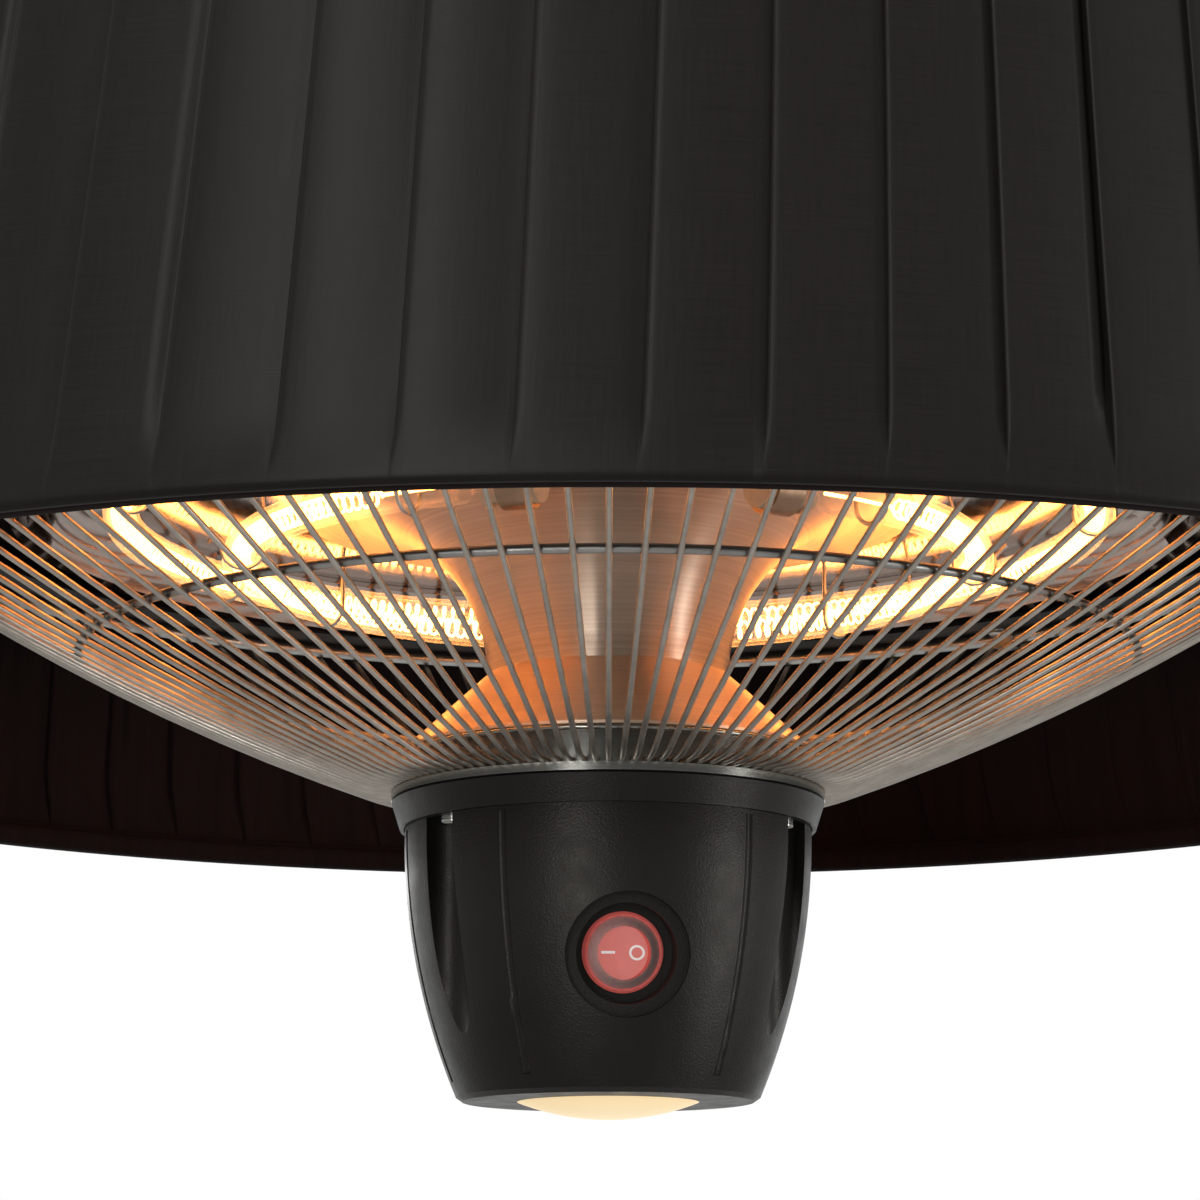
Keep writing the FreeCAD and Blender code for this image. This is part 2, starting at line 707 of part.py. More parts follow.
class HeatingTube:
    """Centre line of one C shaped tube, its winding, and the pole of the block that feeds it."""

    def __init__(self, radius, drop, end, curls, pole):
        self.radius = radius
        self.z = ceiling - drop
        self.end = end
        self.curls = curls
        self.pole = pole

    def angle(self, length):
        """Azimuth covered by a length along the tube."""
        return math.degrees(length / self.radius)

    def way_out(self):
        """Level direction in which the tube's end on the +X side points."""
        return V(-cos(self.end), -sin(self.end), 0)

    def beyond(self, length):
        """Point a length past the glass's end on the +X side, straight on."""
        return at(self.end, self.radius, self.z) + self.way_out() * length

    def laid(self, shape, length):
        """Shape drawn along +X from the origin, set a length past the end and turned along the tube."""
        copy = shape.copy()
        copy.rotate(ORIGIN, UP, self.end - 180.0)
        copy.translate(self.beyond(length))
        return copy


inner_tube = HeatingTube(INNER_TUBE_RADIUS, INNER_TUBE_DROP, INNER_TUBE_END, INNER_TUBE_CURLS, 1)
outer_tube = HeatingTube(OUTER_TUBE_RADIUS, OUTER_TUBE_DROP, OUTER_TUBE_END, OUTER_TUBE_CURLS, 2)
heating_tubes = (inner_tube, outer_tube)
cap_start = PINCH_LENGTH - CAP_GRIP
cap_end = cap_start + CAP_LENGTH
pinch_width = 2.0 * (GLASS_RADIUS - GLASS_WALL)


def feed_lead_corner(tube):
    """Place where a tube's lead turns up through the reflector, in line with its pole of the block."""
    x = tube.pole * BLOCK_PITCH
    start = tube.beyond(cap_end)
    return x, start.y - (start.x - x) * math.tan(math.radians(tube.end))


def reflector_under(radius):
    """Height of the reflector's underside between the column's flange and its crown."""
    share = (radius - reflector_flat) / (REFLECTOR_CROWN_RADIUS - reflector_flat)
    return ceiling + REFLECTOR_RISE * share


def make_reflector():
    """Shallow spun dish: it rises to a crown, curves down to the edge and has a turned out rim."""
    t = SPUN_SHEET
    crown = ceiling + REFLECTOR_RISE
    span = REFLECTOR_RADIUS - REFLECTOR_CROWN_RADIUS
    curve = (span * span + REFLECTOR_DEPTH * REFLECTOR_DEPTH) / (2.0 * REFLECTOR_DEPTH)
    end = math.degrees(math.asin(span / curve))
    center_z = crown - curve

    def on(radius, angle):
        return REFLECTOR_CROWN_RADIUS + radius * sin(angle), center_z + radius * cos(angle)

    low = on(curve, end)
    high = on(curve + t, end)
    edge = low[0] + REFLECTOR_RIM
    dish = spun(
        (tube_hole, ceiling), (reflector_flat, ceiling), (REFLECTOR_CROWN_RADIUS, crown),
        (on(curve, end / 2.0), low), (edge, low[1]), (edge, high[1]), high,
        (on(curve + t, end / 2.0), (REFLECTOR_CROWN_RADIUS, crown + t)), (reflector_flat, ceiling + t),
        (tube_hole, ceiling + t),
    )
    hole = LEAD_RADIUS + HOLE_CLEARANCE
    holes = []
    for tube in heating_tubes:
        x, y = feed_lead_corner(tube)
        holes.extend(cylinder(hole, ceiling - t, crown + 2.0 * t, side * x, y) for side in (-1, 1))
    return dish.cut(holes)


def make_heating_tube(tube):
    """Bent quartz tube, closed at each end by a plug that tapers into a flat pinched seal."""
    center = V(tube.radius, 0, tube.z)
    first = tube.end + tube.angle(PINCH_PLUG)
    glass = Part.Face(Part.Wire(Part.makeCircle(GLASS_RADIUS, center, V(0, 1, 0))))
    glass = glass.revolve(ORIGIN, UP, 360.0 - 2.0 * tube.end)
    glass.rotate(ORIGIN, UP, tube.end - 90.0)
    hollow = Part.Face(Part.Wire(Part.makeCircle(GLASS_RADIUS - GLASS_WALL, center, V(0, 1, 0))))
    hollow = hollow.revolve(ORIGIN, UP, 360.0 - 2.0 * first)
    hollow.rotate(ORIGIN, UP, first - 90.0)
    corner = V(-GLASS_WALL, -pinch_width / 2.0, -PINCH_THICKNESS / 2.0)
    tab = Part.makeBox(PINCH_LENGTH + GLASS_WALL, pinch_width, PINCH_THICKNESS, corner)
    taper = Part.makeCone(GLASS_RADIUS, PINCH_THICKNESS / 2.0, PINCH_TAPER, ORIGIN, V(1, 0, 0))
    seal = tube.laid(tab.fuse(taper), 0.0)
    return glass.cut(hollow).fuse([seal, seal.mirror(ORIGIN, V(1, 0, 0))])


def biarc(p0, t0, p1, t1):
    """Two arcs that join a point and direction to another point and direction without a kink."""
    v = p1 - p0
    t = t0 + t1
    a = 2.0 * (1.0 - t0.dot(t1))
    b = v.dot(t)
    d = (math.sqrt(b * b + a * v.dot(v)) - b) / a
    q0 = p0 + t0 * d
    q1 = p1 - t1 * d
    joint = (q0 + q1) * 0.5
    arcs = []
    for start, corner, end in ((p0, q0, joint), (joint, q1, p1)):
        chord = (end - start).Length / 2.0
        center = (start + end) * 0.5
        bow = corner - center
        sag = chord * math.tan(math.atan2(bow.Length, chord) / 2.0)
        arcs.append(Part.Arc(start, center + bow.normalize() * sag, end).toShape())
    return arcs


def filament_point(tube, turn):
    """Point and direction of the wound wire after some turns, along the bent tube's axis."""
    first = tube.end + tube.angle(PINCH_PLUG + FILAMENT_LEAD)
    rate = (360.0 - 2.0 * first) / tube.curls
    azimuth = first + rate * turn
    spin = 360.0 * turn
    curl = FILAMENT_CURL_RADIUS
    r = tube.radius + curl * cos(spin)
    point = at(azimuth, r, tube.z + curl * sin(spin))
    outward = at(azimuth, 1.0, 0.0)
    along = V(cos(azimuth), sin(azimuth), 0)
    wind = 2.0 * math.pi * curl
    way = outward * (-wind * sin(spin)) + UP * (wind * cos(spin)) + along * (math.radians(rate) * r)
    return point, way.normalize()


def make_filament(tube):
    """One unbroken wound wire: a straight lead at each end of the glass and curls in between."""
    stations = [filament_point(tube, i / 4.0) for i in range(4 * tube.curls + 1)]
    edges = []
    for i in range(len(stations) - 1):
        edges.extend(biarc(stations[i][0], stations[i][1], stations[i + 1][0], stations[i + 1][1]))
    straight = FILAMENT_LEAD / 2.0
    first = tube.end + tube.angle(PINCH_PLUG)
    ends = []
    for azimuth, way in ((first, 1.0), (360.0 - first, -1.0)):
        point = at(azimuth, tube.radius, tube.z)
        along = V(cos(azimuth), sin(azimuth), 0) * way
        ends.append((point, point + along * straight, along))
    near, far = ends
    head = [Part.makeLine(near[0], near[1])]
    head.extend(biarc(near[1], near[2], stations[0][0], stations[0][1]))
    tail = biarc(stations[-1][0], stations[-1][1], far[1], far[2] * -1.0)
    tail.append(Part.makeLine(far[1], far[0]))
    return tube_along(head + edges + tail, FILAMENT_WIRE_RADIUS)


def filament_gap(tube):
    """Least gap between neighbouring curls, measured on points."""
    per_turn = 48
    points = [filament_point(tube, i / per_turn)[0] for i in range(4 * per_turn)]
    least = min(
        (points[i] - points[j]).Length
        for i in range(len(points)) for j in range(i + per_turn // 2, len(points))
    )
    return least - 2.0 * FILAMENT_WIRE_RADIUS


def at_tube_ends(make):
    """One kind of piece at all four tube ends."""
    right = [make(tube) for tube in heating_tubes]
    return right + [shape.mirror(ORIGIN, V(1, 0, 0)) for shape in right]


def make_tube_cap(tube):
    """Ceramic cap with a slot that grips the seal, and a waist between its collars."""
    length = CAP_LENGTH - HOLDER_WIDTH - 2.0 * CAP_COLLAR
    start = V(CAP_COLLAR, 0, 0)
    waist = Part.makeCylinder(CAP_RADIUS, length, start, V(1, 0, 0))
    waist = waist.cut(Part.makeCylinder(CAP_RADIUS - CAP_WAIST, length, start, V(1, 0, 0)))
    width = pinch_width + 2.0 * FIT_CLEARANCE
    height = PINCH_THICKNESS + 2.0 * FIT_CLEARANCE
    slot = Part.makeBox(CAP_GRIP + FIT_CLEARANCE, width, height, V(0, -width / 2.0, -height / 2.0))
    cap = Part.makeCylinder(CAP_RADIUS, CAP_LENGTH, ORIGIN, V(1, 0, 0))
    return tube.laid(cap.cut([waist, slot]), cap_start)


def make_tube_holder(tube):
    """Strap round the ceramic cap that hangs from the reflector on a foot turned inwards."""
    inner = CAP_RADIUS + SEAT_GAP
    band = Part.makeCylinder(inner + HOLDER_SHEET, HOLDER_WIDTH, ORIGIN, V(1, 0, 0))
    half = HOLDER_SHEET / 2.0
    height = reflector_under(tube.radius - HOLDER_FOOT) - tube.z
    tab = Part.makeBox(HOLDER_WIDTH, HOLDER_SHEET, height, V(0, -half, 0))
    foot_corner = V(0, half - HOLDER_FOOT, height - HOLDER_SHEET)
    foot = Part.makeBox(HOLDER_WIDTH, HOLDER_FOOT, HOLDER_SHEET, foot_corner)
    bore = Part.makeCylinder(inner, HOLDER_WIDTH, ORIGIN, V(1, 0, 0))
    strap = band.fuse([tab, foot]).cut(bore).removeSplitter()
    return tube.laid(strap, cap_end - HOLDER_WIDTH - CAP_COLLAR)


def make_tube_clips(tube):
    """Wire hooks from the reflector, each down one side of the glass, under it and out to a tail."""
    loop = GLASS_RADIUS + SEAT_GAP + CLIP_WIRE_RADIUS
    inside = -(tube.radius - loop)
    outside = -(tube.radius + loop)
    top = reflector_under(tube.radius - loop - CLIP_WIRE_RADIUS)
    side = V(0, inside, tube.z)
    lip = V(0, outside, tube.z)
    bend = V(0, outside, tube.z + CLIP_LIP)
    edges = [
        Part.makeLine(V(0, inside, top), side),
        Part.Arc(side, V(0, -tube.radius, tube.z - loop), lip).toShape(),
    ]
    edges.extend(bent_path([lip, bend, bend + V(0, -CLIP_TAIL, CLIP_TAIL)], 2.0 * CLIP_WIRE_RADIUS))
    clip = tube_along(edges, CLIP_WIRE_RADIUS)
    first = tube.end + tube.angle(CLIP_INSET)
    step = (360.0 - 2.0 * first) / (CLIPS_PER_TUBE - 1)
    return [turned(clip, first + i * step) for i in range(CLIPS_PER_TUBE)]


def make_feed_leads():
    """Leads from the tube ends up through the reflector to the terminal block."""
    height = lead_height()
    block = BLOCK_OFFSET - BLOCK_DEPTH / 2.0
    leads = []
    for tube in heating_tubes:
        x, y = feed_lead_corner(tube)
        route = [tube.beyond(cap_end), V(x, y, tube.z), V(x, y, height), V(x, block, height)]
        leads.append(tube_along(bent_path(route, LEAD_BEND), LEAD_RADIUS))
    return leads + [lead.mirror(ORIGIN, V(1, 0, 0)) for lead in leads]


def make_switch_lead():
    """Lead from the terminal block down inside the support tube to the back of the switch."""
    height = lead_height()
    block = BLOCK_OFFSET + BLOCK_DEPTH / 2.0
    back = switch_point(0.0, 0.0, -WELL_DEPTH - BARREL_LENGTH - TERMINAL_LENGTH)
    route = [V(0, block, height), V(0, 0, height), V(0, 0, back.z), V(0, back.y + SOFT_GAP, back.z)]
    return tube_along(bent_path(route, LEAD_BEND), LEAD_RADIUS)


def make_collar():
    """Lid of the switch housing: a plate with a short tapered skirt."""
    low = collar_top - COLLAR_HEIGHT
    inner = HOUSING_RADIUS + HOLE_CLEARANCE
    edge = HOUSING_EDGE / 2.0
    plate = spun(
        (tube_hole, collar_top), (COLLAR_RADIUS - edge, collar_top), (COLLAR_RADIUS, collar_top - edge),
        (COLLAR_EDGE_RADIUS, low), (inner, low), (inner, collar_under), (tube_hole, collar_under),
    )
    hole = cylinder(
        HOUSING_SCREW_RADIUS + FIT_CLEARANCE, collar_under, collar_top, 0.0, -HOUSING_SCREW_CENTER
    )
    return plate.cut(ring_of(hole, FLUTES, 180.0 / FLUTES))


def barrel():
    """Radius of the housing's side curve and the height where it starts."""
    fall = HOUSING_HEIGHT - HOUSING_STRAIGHT
    draw = HOUSING_RADIUS - HOUSING_BOTTOM_RADIUS
    return (fall * fall + draw * draw) / (2.0 * draw), collar_under - HOUSING_STRAIGHT


def barrel_radius(z, inset=0.0):
    """Radius of the housing's side at a height, or of a surface inside it."""
    curve, start = barrel()
    fall = start - z
    return HOUSING_RADIUS - curve + math.sqrt((curve - inset) ** 2 - fall * fall)


def barrel_arc(z_from, z_to, inset):
    """Arc step of an outline along the housing's side."""
    middle = (z_from + z_to) / 2.0
    return (barrel_radius(middle, inset), middle), (barrel_radius(z_to, inset), z_to)


switch_z = collar_under - SWITCH_DROP
switch_out = V(0, -cos(SWITCH_TILT), -sin(SWITCH_TILT))
switch_up = V(0, -sin(SWITCH_TILT), cos(SWITCH_TILT))
switch_face = V(0, -barrel_radius(switch_z), switch_z)


def switch_point(x, y, z):
    """Point in the switch's own frame: x right, y up, z out of the well."""
    return switch_face + V(x, 0, 0) + switch_up * y + switch_out * z


def in_switch(shape):
    """Moves a shape drawn in the switch's own frame to its place in the housing."""
    o = switch_face
    u = switch_up
    n = switch_out
    frame = FreeCAD.Matrix(1, 0, 0, o.x, 0, u.y, n.y, o.y, 0, u.z, n.z, o.z, 0, 0, 0, 1)
    shape.Placement = FreeCAD.Placement(frame)
    return shape


def make_housing():
    """Barrel shaped moulding with a stepped switch well, three screw flutes and shallow side grooves."""
    curve, start = barrel()
    wall = HOUSING_WALL
    low = housing_bottom
    floor = low + wall
    edge = HOUSING_EDGE
    opening = LENS_RADIUS + FIT_CLEARANCE
    outer_foot = (barrel_radius(low) - edge, low)
    shell = spun(
        (HOUSING_RADIUS, collar_under), (HOUSING_RADIUS, start), barrel_arc(start, low + edge, 0.0),
        outer_foot, (opening, low), (opening, floor), (barrel_radius(floor, wall), floor),
        barrel_arc(floor, start, wall), (HOUSING_RADIUS - wall, collar_under),
    )
    envelope = spun(
        (0, collar_under), (HOUSING_RADIUS, collar_under), (HOUSING_RADIUS, start),
        barrel_arc(start, low + edge, 0.0), outer_foot, (0, low),
    )
    boss_radius = FLUTE_RADIUS + FLUTE_WALL
    boss = cylinder(boss_radius, floor, collar_under, 0.0, -FLUTE_CENTER)
    bosses = ring_of(boss, FLUTES, 180.0 / FLUTES)
    well = in_switch(cylinder(WELL_RADIUS + WELL_WALL, -WELL_DEPTH - HOUSING_WALL, WELL_RADIUS))
    added = [b.common(envelope) for b in bosses + [well]]
    body = shell.fuse(added)

    shelf = collar_under - FLUTE_SHELF
    flute = cylinder(FLUTE_RADIUS, low, shelf, 0.0, -FLUTE_CENTER)
    screw = cylinder(
        HOUSING_SCREW_RADIUS + FIT_CLEARANCE, shelf, collar_under, 0.0, -HOUSING_SCREW_CENTER
    )
    cuts = ring_of(flute, FLUTES, 180.0 / FLUTES) + ring_of(screw, FLUTES, 180.0 / FLUTES)
    bite = (GROOVE_WIDTH * GROOVE_WIDTH / 4.0 + GROOVE_DEPTH * GROOVE_DEPTH) / (2.0 * GROOVE_DEPTH)
    groove_center = V(0, curve - HOUSING_RADIUS, start)
    groove = Part.makeTorus(curve + bite - GROOVE_DEPTH, bite, groove_center, V(1, 0, 0))
    lower = Part.makeBox(8 * bite, 2 * HOUSING_RADIUS, HOUSING_HEIGHT - HOUSING_STRAIGHT - 4.0 * edge,
                         V(-4 * bite, -2 * HOUSING_RADIUS, low + 4.0 * edge))
    groove = groove.common(lower)
    for azimuth in (-GROOVE_AZIMUTH, GROOVE_AZIMUTH):
        cuts.extend(ring_of(groove, FLUTES, 180.0 / FLUTES + azimuth))
    cuts.append(in_switch(cylinder(WELL_RADIUS, -WELL_STEP_DEPTH, 2.0 * WELL_RADIUS)))
    cuts.append(in_switch(cylinder(WELL_INNER_RADIUS, -WELL_DEPTH, -WELL_STEP_DEPTH)))
    cuts.append(in_switch(cylinder(BARREL_RADIUS + FIT_CLEARANCE, -WELL_DEPTH - 2.0 * wall, -WELL_DEPTH)))
    lamp_hole = cylinder(LAMP_SCREW_RADIUS + SEAT_GAP, lamp_screw_foot(), floor, 0.0, -LAMP_SCREW_CENTER)
    cuts.extend(ring_of(lamp_hole, LAMP_SCREWS, 180.0 / LAMP_SCREWS))
    return body.cut(cuts).removeSplitter()


def make_housing_screws():
    """Pan head screws at the top of the flutes, up into the collar."""
    shelf = collar_under - FLUTE_SHELF
    under = shelf - HOUSING_SCREW_HEAD_HEIGHT
    edge = HOUSING_SCREW_HEAD_HEIGHT / 2.0
    head = HOUSING_SCREW_HEAD
    screw = spun(
        (0, under), (head - edge, under), ((head - edge + edge * cos(45), under + edge * (1.0 - sin(45))),
        (head, under + edge)), (head, shelf), (HOUSING_SCREW_RADIUS, shelf),
        (HOUSING_SCREW_RADIUS, collar_top - SOFT_GAP), (0, collar_top - SOFT_GAP),
    )
    screw.translate(V(0, -HOUSING_SCREW_CENTER, 0))
    return ring_of(screw, FLUTES, 180.0 / FLUTES)


pivot_z = -WELL_DEPTH - PIVOT_DEPTH


def make_switch_body():
    """Round switch: bezel on the well's floor, barrel behind it, and a cavity with two pivot holes."""
    front = -WELL_DEPTH + BEZEL_HEIGHT
    back = -WELL_DEPTH - BARREL_LENGTH
    cavity = -WELL_DEPTH - BARREL_CAVITY_DEPTH
    body = spun(
        (0, back), (BARREL_RADIUS, back), (BARREL_RADIUS, -WELL_DEPTH), (BEZEL_RADIUS, -WELL_DEPTH),
        (BEZEL_RADIUS, front - BEZEL_EDGE), (BEZEL_RADIUS - BEZEL_EDGE, front), (BEZEL_OPENING, front),
        (BEZEL_OPENING, -WELL_DEPTH), (BARREL_CAVITY_RADIUS, -WELL_DEPTH), (BARREL_CAVITY_RADIUS, cavity),
        (0, cavity),
    )
    reach = BARREL_RADIUS + BEZEL_EDGE
    hole = Part.makeCylinder(PIVOT_RADIUS + PIVOT_CLEARANCE, 2.0 * reach, V(0, -reach, pivot_z), V(0, 1, 0))
    return in_switch(body.cut(hole))


def make_switch_terminals():
    """Blades at the back of the switch."""
    back = -WELL_DEPTH - BARREL_LENGTH
    blades = []
    for i in (-1, 0, 1):
        corner = V(-TERMINAL_WIDTH / 2.0, i * TERMINAL_SPACING - TERMINAL_SHEET / 2.0, back - TERMINAL_LENGTH)
        blade = Part.makeBox(TERMINAL_WIDTH, TERMINAL_SHEET, TERMINAL_LENGTH, corner)
        blades.append(in_switch(blade))
    return blades


def make_rocker():
    """Round rocker with a dished face and two pivots, tipped to the side that is pressed in."""
    top = pivot_z + ROCKER_RISE
    bottom = pivot_z - ROCKER_FALL
    disc = cylinder(ROCKER_RADIUS, bottom, top)
    dish = Part.makeCylinder(
        ROCKER_DISH, 4.0 * ROCKER_RADIUS,
        V(0, -2.0 * ROCKER_RADIUS, top + math.sqrt(ROCKER_DISH ** 2 - ROCKER_RADIUS ** 2)), V(0, 1, 0)
    )
    reach = BARREL_RADIUS - SOFT_GAP
    pivot = Part.makeCylinder(PIVOT_RADIUS, 2.0 * reach, V(0, -reach, pivot_z), V(0, 1, 0))
    rocker = disc.cut(dish).fuse(pivot).removeSplitter()
    rocker.rotate(V(0, 0, pivot_z), V(0, 1, 0), -ROCKER_TILT)
    moved = Part.makeCompound([rocker])
    return in_switch(moved).Solids[0]


def make_switch_cap():
    """Soft clear cap over the rocker, with a foot on the bezel."""
    t = SWITCH_CAP_WALL
    foot = -WELL_DEPTH + BEZEL_HEIGHT
    top = foot + SWITCH_CAP_HEIGHT
    wide = SWITCH_CAP_FOOT_RADIUS
    narrow = SWITCH_CAP_TOP_RADIUS
    edge = BEZEL_RADIUS - BEZEL_EDGE
    return in_switch(spun(
        (edge, foot), (edge, foot + t), (wide, foot + t), (narrow, top - t), (narrow - t, top), (0, top),
        (0, top - t), (narrow - t, top - t), (wide - t, foot + t), (wide - t, foot),
    ))


def lamp_screw_foot():
    return housing_bottom + HOUSING_EDGE


def make_lens():
    """Shallow dome that fills the housing's opening, with a flange inside."""
    low = housing_bottom
    floor = low + HOUSING_WALL
    top = floor + LENS_FLANGE_HEIGHT
    ball = (LENS_RADIUS ** 2 + LENS_SAG ** 2) / (2.0 * LENS_SAG)
    center_z = low - LENS_SAG + ball
    inner_ball = ball - LENS_WALL
    bore = LENS_RADIUS - LENS_WALL
    inner_low = center_z - math.sqrt(inner_ball ** 2 - bore ** 2)

    def on(radius, r):
        return r, center_z - math.sqrt(radius ** 2 - r ** 2)

    return spun(
        (LENS_RADIUS + LENS_FLANGE, top), (LENS_RADIUS + LENS_FLANGE, floor), (LENS_RADIUS, floor),
        (LENS_RADIUS, low), (on(ball, LENS_RADIUS / 2.0), (0, low - LENS_SAG)),
        (0, low - LENS_SAG + LENS_WALL), (on(inner_ball, bore / 2.0), (bore, inner_low)), (bore, top),
    )


retainer_low = housing_bottom + HOUSING_WALL
retainer_seat = retainer_low + LENS_FLANGE_HEIGHT
retainer_top = retainer_seat + RETAINER_HEIGHT


def make_retainer():
    """Ring that presses the lens flange on the housing's floor and carries the board."""
    step = LENS_RADIUS + LENS_FLANGE + HOLE_CLEARANCE
    ring = spun(
        (RETAINER_BORE, retainer_seat), (step, retainer_seat), (step, retainer_low),
        (RETAINER_RADIUS, retainer_low), (RETAINER_RADIUS, retainer_top), (RETAINER_BORE, retainer_top),
    )
    hole = cylinder(LAMP_SCREW_RADIUS + FIT_CLEARANCE, retainer_low, retainer_top, 0.0, -LAMP_SCREW_CENTER)
    return ring.cut(ring_of(hole, LAMP_SCREWS, 180.0 / LAMP_SCREWS))


def make_board():
    return cylinder(BOARD_RADIUS, retainer_top, retainer_top + BOARD_THICKNESS)


def make_chips():
    chip = cylinder(CHIP_RADIUS, retainer_top - CHIP_HEIGHT, retainer_top)
    ring = chip.copy()
    ring.translate(V(0, -CHIP_RING_RADIUS, 0))
    return [chip] + ring_of(ring, CHIPS)


def make_lamp_screws():
    head_top = retainer_top + LAMP_SCREW_HEAD_HEIGHT
    screw = spun(
        (0, lamp_screw_foot() + SOFT_GAP), (LAMP_SCREW_RADIUS, lamp_screw_foot() + SOFT_GAP),
        (LAMP_SCREW_RADIUS, retainer_top), (LAMP_SCREW_HEAD, retainer_top),
        (LAMP_SCREW_HEAD, head_top - SCREW_EDGE), (LAMP_SCREW_HEAD - SCREW_EDGE, head_top), (0, head_top),
    )
    screw.translate(V(0, -LAMP_SCREW_CENTER, 0))
    return ring_of(screw, LAMP_SCREWS, 180.0 / LAMP_SCREWS)


def make_lamp_leads():
    """Two thin leads from the board up to the switch's lower blade."""
    blade = switch_point(0.0, -TERMINAL_SPACING - TERMINAL_SHEET / 2.0,
                         -WELL_DEPTH - BARREL_LENGTH - TERMINAL_LENGTH / 2.0)
    low = retainer_top + BOARD_THICKNESS
    leads = []
    for side in (-1, 1):
        x = side * (TERMINAL_WIDTH / 2.0 - LAMP_LEAD_RADIUS)
        leads.append(cylinder(LAMP_LEAD_RADIUS, low, blade.z - SOFT_GAP, x, blade.y))
    return leads


def make_clip_screws():
    """Screws through the clips' tongues into the casing's lip."""
    t = GUARD_CLIP_SHEET
    under = casing_rim - t
    top = casing_rim + CASING_SHEET + t
    low = under - CLIP_SCREW_HEAD / 2.0
    screw = spun(
        (0, low), (CLIP_SCREW_HEAD - SCREW_EDGE, low), (CLIP_SCREW_HEAD, low + SCREW_EDGE),
        (CLIP_SCREW_HEAD, under), (CLIP_SCREW_RADIUS, under), (CLIP_SCREW_RADIUS, top), (0, top),
    )
    screw.translate(V(0, -clip_screw_center(), 0))
    return [turned(screw, a) for a in clip_azimuths()]


def make_guard_clips():
    clip = make_guard_clip()
    low = casing_rim - 2.0 * GUARD_CLIP_SHEET
    hole = cylinder(CLIP_SCREW_RADIUS + FIT_CLEARANCE, low, casing_rim, 0.0, -clip_screw_center())
    return [turned(clip.cut(hole), a) for a in clip_azimuths()]


def make_all():
    wire = make_guard_wire()
    guard_z = guard_base
    top_binding_height = BINDING_THICKNESS + SOFT_GAP + 2.0 * RING_WIRE_RADIUS
    return {
        "hanging_eye": make_hanging_eye(),
        "support_tube": make_support_tube(),
        "support_nuts": make_support_nuts(),
        "shade_spider_hub": make_spider_hub(),
        "shade_spider_arms": make_spider_arms(),
        "shade_top_ring": make_wire_ring(frame_radius(top_ring_z), top_ring_z, RING_WIRE_RADIUS),
        "shade_bottom_ring": make_wire_ring(frame_radius(bottom_ring_z), bottom_ring_z, RING_WIRE_RADIUS),
        "shade_uprights": make_shade_uprights(),
        "shade_fabric": make_shade_fabric(),
        "shade_top_binding": make_binding(shade_top, -1.0, top_binding_height),
        "shade_bottom_binding": make_binding(shade_bottom, 1.0, BINDING_HEIGHT),
        "upper_casing": make_upper_casing(),
        "cable_gland": make_cable_gland(),
        "gland_lock_nut": make_gland_lock_nut(),
        "terminal_block": make_terminal_block(),
        "reflector": make_reflector(),
        "center_column": make_column(),
        "column_skirt": make_skirt(),
        "hub_band": make_band(),
        "heating_tube_inner": make_heating_tube(inner_tube),
        "heating_tube_outer": make_heating_tube(outer_tube),
        "filament_inner": make_filament(inner_tube),
        "filament_outer": make_filament(outer_tube),
        "tube_end_caps": at_tube_ends(make_tube_cap),
        "tube_holders": at_tube_ends(make_tube_holder),
        "tube_clips": make_tube_clips(inner_tube) + make_tube_clips(outer_tube),
        "tube_feed_leads": make_feed_leads(),
        "guard_wires": ring_of(wire, GUARD_WIRES, GUARD_TURN),
        "guard_hub_ring": washer(HUB_RING_RADIUS, HUB_RING_BORE, collar_top, hub_ring_top),
        "guard_middle_ring": make_wire_ring(middle_ring_r, guard_z + middle_ring_rise, MIDDLE_RING_RADIUS),
        "guard_outer_ring": make_wire_ring(outer_ring_r, guard_z + outer_ring_rise, OUTER_RING_RADIUS),
        "guard_clips": make_guard_clips(),
        "guard_clip_screws": make_clip_screws(),
        "housing_collar": make_collar(),
        "switch_housing": make_housing(),
        "housing_screws": make_housing_screws(),
        "switch_body": make_switch_body(),
        "switch_terminals": make_switch_terminals(),
        "switch_rocker": make_rocker(),
        "switch_cap": make_switch_cap(),
        "switch_lead": make_switch_lead(),
        "lamp_lens": make_lens(),
        "lamp_retainer": make_retainer(),
        "lamp_board": make_board(),
        "lamp_chips": make_chips(),
        "lamp_screws": make_lamp_screws(),
        "lamp_leads": make_lamp_leads(),
    }


os.makedirs("parts", exist_ok=True)
for name, shape in make_all().items():
    if isinstance(shape, list):
        shape = Part.makeCompound(shape)
    shape.exportStep("parts/" + name + ".step")
    solids = shape.Solids
    volume = sum(s.Volume for s in solids) / 1000.0
    print(name, len(solids), "solids", round(volume, 2), "cm3", "valid" if shape.isValid() else "NOT VALID")
for tube in heating_tubes:
    print("least gap between filament curls", round(filament_gap(tube), 2), "mm")
pivot = switch_point(0.0, 0.0, pivot_z)
print("rocker pivot", [round(c, 4) for c in pivot], "axis", [round(c, 5) for c in switch_up])
print("shade from", round(shade_bottom, 3), "to", round(shade_top, 3))
print("casing from", round(casing_rim, 3), "to", round(casing_top, 3))
print("collar top", round(collar_top, 3), "housing bottom", round(housing_bottom, 3))
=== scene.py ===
import json
import math
import random

import bpy
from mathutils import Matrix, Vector
from mathutils.bvhtree import BVHTree


